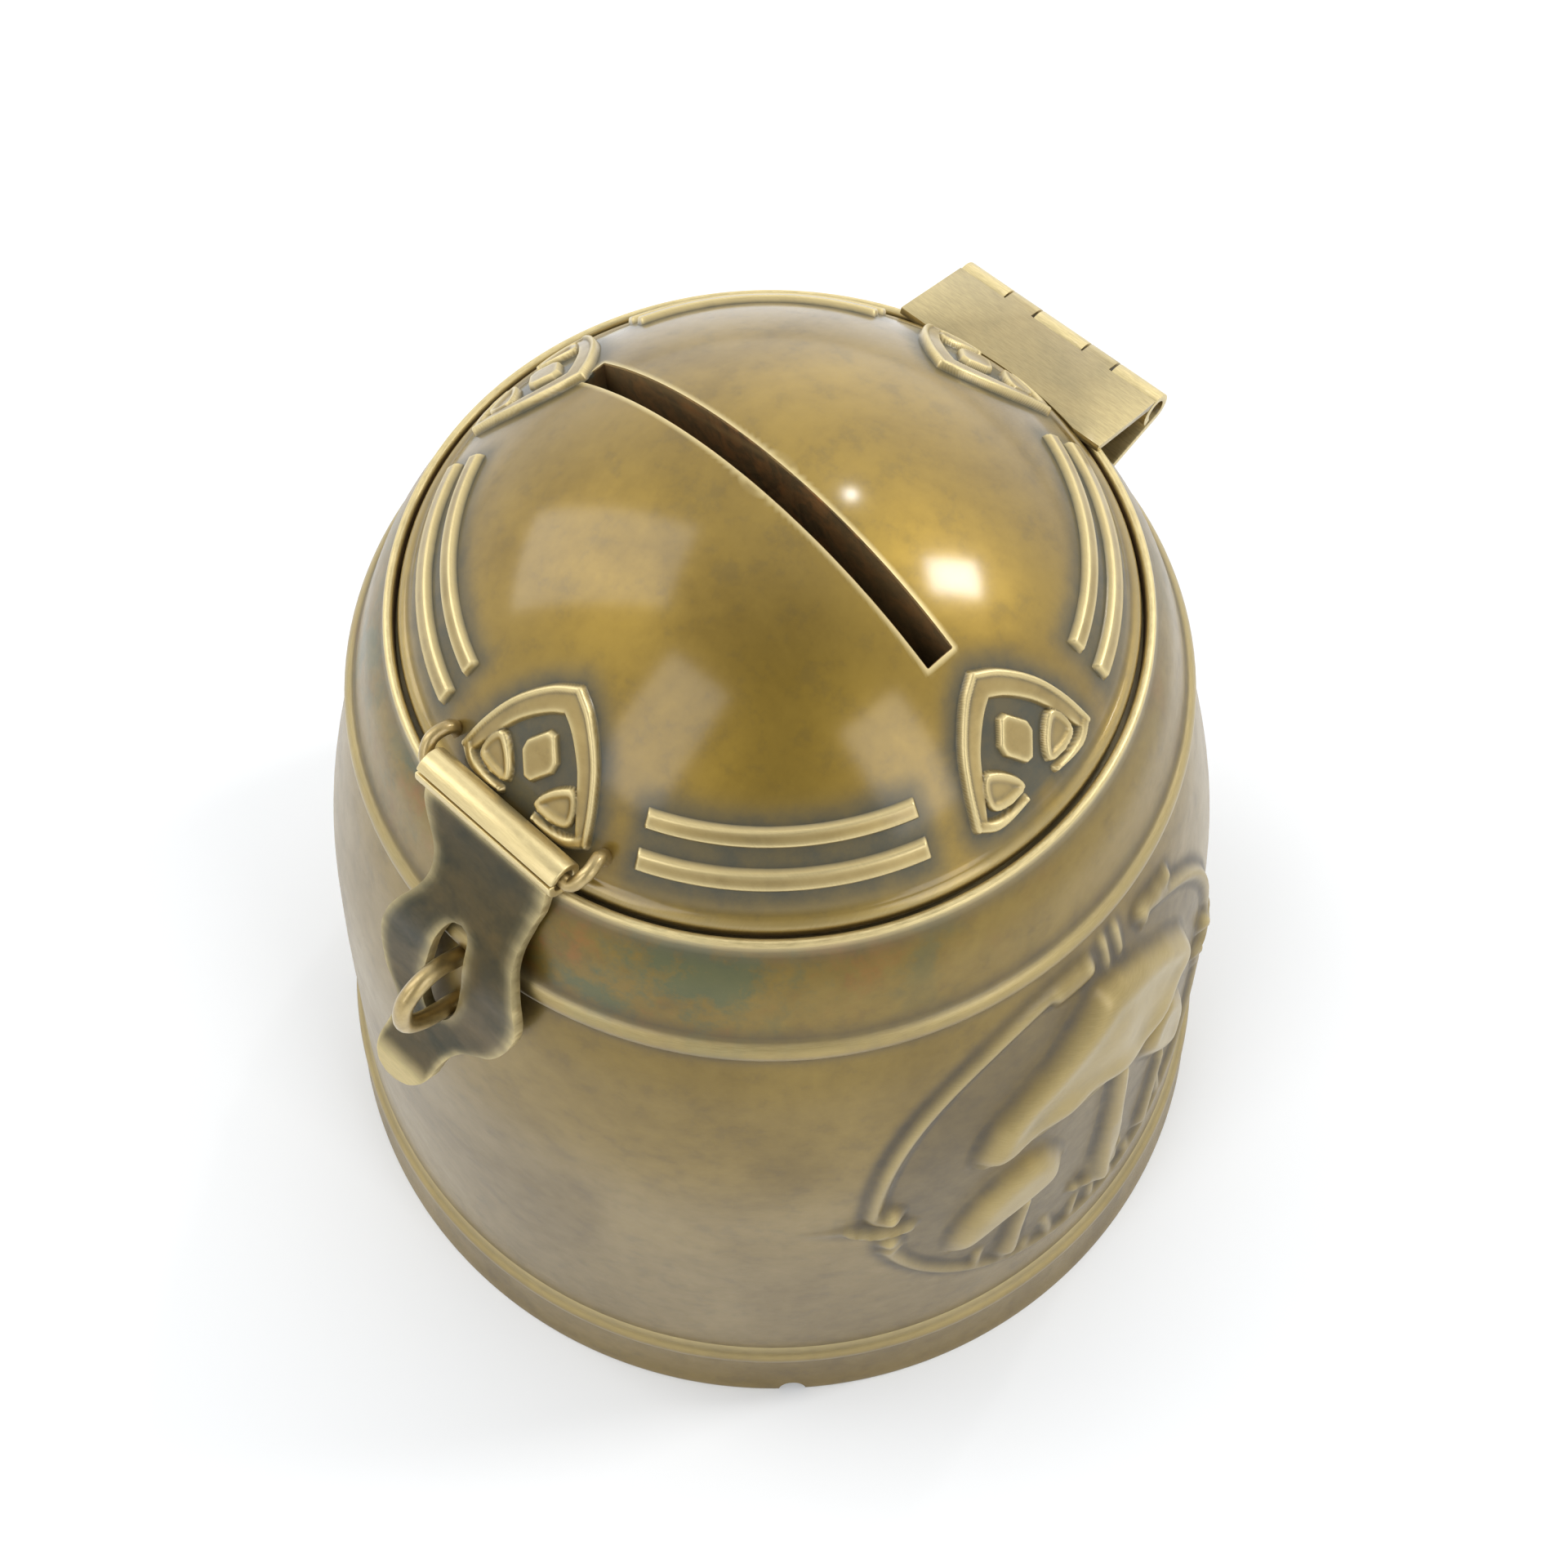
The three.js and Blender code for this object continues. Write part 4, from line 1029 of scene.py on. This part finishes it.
def old_brass(name, clean, film, dark=SLATE, bright=STRAW, gloss=0.3, size=60.0, hair=(1.0, 1.0, 30.0),
              film_share=0.5, bump=0.25, lip=False, stains=False, coat=0.6, coat_gloss=0.16, metal=0.9,
              ground_and_shade_dark=0.9):
    material = bpy.data.materials.new(name)
    material.use_nodes = True
    t = material.node_tree
    shader = t.nodes["Principled BSDF"]

    def note(label):
        return add(t, "ShaderNodeAttribute", attribute_name=label).outputs["Fac"]

    def times(a, b):
        return maths(t, "MULTIPLY", a, b, True)

    def between(*values):
        return spread_between(t, *values)

    def laid(factor, under, over):
        return mixed(t, factor, under if hasattr(under, "links") else (*under, 1), (*over, 1))

    where = add(t, "ShaderNodeTexCoord").outputs["Object"]
    clouds = add(t, "ShaderNodeGroup", {}, node_tree=CLOUDS)
    t.links.new(where, clouds.inputs[0])
    clouds.inputs[1].default_value = size
    scratch = add(t, "ShaderNodeGroup", {}, node_tree=SCRATCHES)
    t.links.new(where, scratch.inputs[0])
    scratch.inputs[2].default_value = hair
    rub_and_sheen, grime_and_shade, ground_and_shade = note("rub_and_sheen"), note("grime_and_shade"), note("ground_and_shade")
    broad, mottle = clouds.outputs[0], clouds.outputs[1]
    hairs, pits = scratch.outputs[0], scratch.outputs[1]
    filmed = times(maths(t, "ADD", broad, times(mottle, 0.35)), film_share)
    colour = laid(filmed, clean, film)
    colour = laid(between(mottle, 0.6, 1.0, 0.0, 0.12), colour, dark)
    if stains:
        axes = add(t, "ShaderNodeSeparateXYZ", {0: where}).outputs
        joint = times(between(axes["Z"], 0.0665, 0.0695), between(broad, 0.15, 0.6))
        joint = times(joint, between(axes["Y"], -0.008, -0.024, 0.25, 1.0))
        patch = add(t, "ShaderNodeTexNoise", {"Vector": where, "Scale": 130.0, "Detail": 6.0,
                                              "Roughness": 0.7}).outputs[0]
        colour = laid(times(joint, between(patch, 0.5, 0.6, 0, 0.7)), colour, VERDIGRIS)
        colour = laid(times(joint, between(patch, 0.47, 0.36, 0, 0.75)), colour, RUST)
    # soiled_and_shaded is grime and painted shade together, laid as the dark colour.
    soiled_and_shaded = maths(t, "MAXIMUM", times(grime_and_shade, 0.85), times(ground_and_shade, ground_and_shade_dark), True)
    soiled_and_shaded = times(soiled_and_shaded, between(mottle, 0.0, 0.8, 0.82, 1.0))
    colour = laid(soiled_and_shaded, colour, dark)
    # polished_and_sheen is rubbed wear and, on the body and foot, the painted top highlight.
    polished_and_sheen = times(rub_and_sheen, between(hairs, 0.1, 0.9, 0.7, 1.0))
    if lip:
        polished_and_sheen = maths(t, "MAXIMUM", polished_and_sheen, times(note("lip"), 0.9), True)
    t.links.new(laid(polished_and_sheen, colour, bright), shader.inputs["Base Color"])
    rough = maths(t, "ADD", between(filmed, 0, 1, gloss, gloss + 0.12), between(hairs, 0, 1, -0.03, 0.05))
    t.links.new(maths(t, "ADD", rough, times(soiled_and_shaded, 0.25)), shader.inputs["Roughness"])
    t.links.new(between(soiled_and_shaded, 0, 1, metal, 0.3), shader.inputs["Metallic"])
    shader.inputs["Coat Roughness"].default_value = coat_gloss
    worn_and_painted_light = maths(t, "MAXIMUM", soiled_and_shaded, polished_and_sheen)
    t.links.new(between(worn_and_painted_light, 0, 1, coat, coat * 0.45), shader.inputs["Coat Weight"])
    grain = maths(t, "SUBTRACT", maths(t, "ADD", times(hairs, 0.5), times(mottle, 0.5)), times(pits, 0.5))
    relief = add(t, "ShaderNodeBump", {"Height": grain, "Strength": bump, "Distance": 0.00004})
    t.links.new(relief.outputs[0], shader.inputs["Normal"])
    return material


# %% The finishes and what wears them
lid_brass = old_brass("lid brass", (0.31, 0.2, 0.028), (0.195, 0.122, 0.014), gloss=0.34, size=55,
                      film_share=0.85, lip=True, hair=(30.0, 1.0, 1.0), coat=0.95, coat_gloss=0.145)
mark_brass = old_brass("stamped brass", (0.42, 0.31, 0.12), (0.29, 0.205, 0.07), gloss=0.32, size=160,
                       film_share=0.8, hair=(1.0, 30.0, 1.0))
body_brass = old_brass("body brass", (0.25, 0.168, 0.031), (0.162, 0.104, 0.015), (0.065, 0.054, 0.04),
                       gloss=0.36, size=45, film_share=0.85, stains=True, coat=0.55, coat_gloss=0.25,
                       ground_and_shade_dark=0.5)
hinge_brass = old_brass("hinge brass", (0.19, 0.128, 0.05), (0.075, 0.05, 0.022), gloss=0.34, size=150,
                        film_share=0.9, hair=(1.0, 8.0, 8.0), coat=0.5)
fitting_brass = old_brass("fitting brass", (0.11, 0.074, 0.022), (0.036, 0.034, 0.016),
                          (0.04, 0.04, 0.026), gloss=0.4, size=95, film_share=1.0, bump=0.35, coat=0.1,
                          metal=0.85)
wire_brass = old_brass("wire brass", (0.62, 0.48, 0.22), (0.33, 0.235, 0.09), size=200, film_share=0.8,
                       bump=0.35)
inner_brass = old_brass("inner brass", (0.30, 0.17, 0.075), (0.11, 0.05, 0.025), (0.03, 0.02, 0.014),
                        (0.3, 0.2, 0.08), gloss=0.55, size=190, film_share=1.0, bump=0.6, coat=0.1,
                        metal=0.35)
slot_brass = old_brass("slot brass", (0.42, 0.17, 0.05), (0.016, 0.009, 0.007), (0.01, 0.007, 0.006),
                       (0.3, 0.2, 0.08), gloss=0.5, size=600, film_share=1.12, bump=0.8, coat=0.1,
                       metal=0.4)
for finish, dressed in ((body_brass, (body, foot)), (lid_brass, (lid,)), (mark_brass, shields + pairs),
                        (slot_brass, (slot_strip,)), (hinge_brass, (lid_leaf, body_leaf)),
                        (fitting_brass, (hasp,)), (wire_brass, (barrel, bail, staple)),
                        (inner_brass, (pin,))):
    for piece in dressed:
        piece.data.materials.clear()
        piece.data.materials.append(finish)
for name in ("bottom_plate", "lid_collar"):
    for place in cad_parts[name].material_slots:
        place.material = inner_brass
print("finishes:", [m.name for m in bpy.data.materials if "brass" in m.name])


# %% [markdown]
# ## Dark inside
# Light seldom reaches the inside walls, and nobody ever polished them. The faces that look inwards
# take a second, browner finish with the same nodes.

# %% Inside faces
def dress_inside(piece, facing_in):
    piece.data.materials.append(inner_brass)
    for face in piece.data.polygons:
        if facing_in(face.center / MM, face.normal):
            face.material_index = 1


def flat_out(c, n):
    return (c.x * n.x + c.y * n.y) / max(math.hypot(c.x, c.y), 1e-6)


dress_inside(body, lambda c, n: flat_out(c, n) < -0.3 and c.z < SEAT_Z - 0.6)
dress_inside(lid, lambda c, n: n.z < -0.2 and c.z > SEAT_Z - 0.9)

# %% [markdown]
# ## Floor, lights and camera
# The box stands on plain white paper under soft light. Shiny metal shows its surroundings more than
# its own colour, so the lamps and the sky are placed for what they look like in the brass. A dark
# patch of sky stands for whoever is looking at the box, and a bright one for a pale wall behind it.

# %% Floor
nothing_selected()
bpy.ops.mesh.primitive_plane_add(size=6, location=(0, 0, 0))
floor = bpy.context.object
floor.name = "paper"
paper = bpy.data.materials.new("white paper")
paper.use_nodes = True
paper.node_tree.nodes["Principled BSDF"].inputs["Base Color"].default_value = (0.93, 0.94, 0.95, 1)
paper.node_tree.nodes["Principled BSDF"].inputs["Roughness"].default_value = 0.9
floor.data.materials.append(paper)


# %% Lights
CROWN = Vector((0, 0, 0.075))


def toward(bearing, height):
    """Direction at a bearing round the box, 0 at the hasp and 90 at the first medallion, in degrees."""
    b, h = math.radians(bearing), math.radians(height)
    return Vector((math.sin(b) * math.cos(h), -math.cos(b) * math.cos(h), math.sin(h)))


def lamp(name, bearing, height, away, watts, wide, tall=None):
    """An area lamp that looks at the crown. Without a second size it is a disc."""
    nothing_selected()
    place = CROWN + away * toward(bearing, height)
    bpy.ops.object.light_add(type="AREA", location=place)
    light = bpy.context.object
    light.name = name
    light.data.shape = "RECTANGLE" if tall else "DISK"
    light.data.energy, light.data.size, light.data.size_y = watts, wide, tall or wide
    light.rotation_euler = (CROWN - place).to_track_quat("-Z", "Y").to_euler()


lamp("window", 149, 41, 1.2, 3.6, 0.18, 0.30)
lamp("left softbox", -71, 43, 1.0, 3.0, 0.42, 0.85)
lamp("front softbox", 0, 44, 1.0, 2.2, 0.36, 0.7)
lamp("right softbox", 86, 34, 1.0, 1.9, 0.34, 0.6)
lamp("bulb", -170, 54, 1.0, 0.35, 0.035)

# %% Sky
world = bpy.context.scene.world or bpy.data.worlds.new("studio")
bpy.context.scene.world = world
world.use_nodes = True
sky = world.node_tree
where = add(sky, "ShaderNodeTexCoord").outputs["Generated"]
height = add(sky, "ShaderNodeSeparateXYZ", {0: where}).outputs["Z"]
wall = spread_between(sky, height, 0.05, 0.75, 1.1, 0.62)


def patch_of_sky(bearing, height, edge, gain):
    """A soft round patch where the sky is brighter or darker by the gain."""
    facing = add(sky, "ShaderNodeVectorMath", {0: where, 1: toward(bearing, height)},
                 operation="DOT_PRODUCT")
    return spread_between(sky, facing.outputs["Value"], edge, 0.97, 1.0, gain)


shade = patch_of_sky(46, 52, 0.72, 0.3)
glow = patch_of_sky(-150, 34, 0.55, 1.9)
background = sky.nodes["Background"]
background.inputs[0].default_value = (0.97, 0.985, 1.0, 1)
sky.links.new(maths(sky, "MULTIPLY", maths(sky, "MULTIPLY", wall, shade), glow), background.inputs[1])
bpy.context.scene.view_settings.view_transform = "Standard"

# %% Camera
AWAY, HIGH, ROUND_DEG = 0.0838, 0.2090, 43.3
DOWN_DEG, YAW_DEG, LENS = 62.96, 0.75, 46.9
a = math.radians(ROUND_DEG)
eye_place = Vector((AWAY * math.sin(a), -AWAY * math.cos(a), HIGH))
b = a - math.radians(YAW_DEG)
d = math.radians(DOWN_DEG)
look = Vector((-math.sin(b) * math.cos(d), math.cos(b) * math.cos(d), -math.sin(d)))
nothing_selected()
bpy.ops.object.camera_add(location=eye_place)
camera = bpy.context.object
camera.data.sensor_width = 36
camera.data.lens = LENS
camera.data.clip_start = 0.01
camera.rotation_euler = look.to_track_quat("-Z", "Y").to_euler()
bpy.context.scene.camera = camera
print("camera at", [round(v, 4) for v in eye_place])
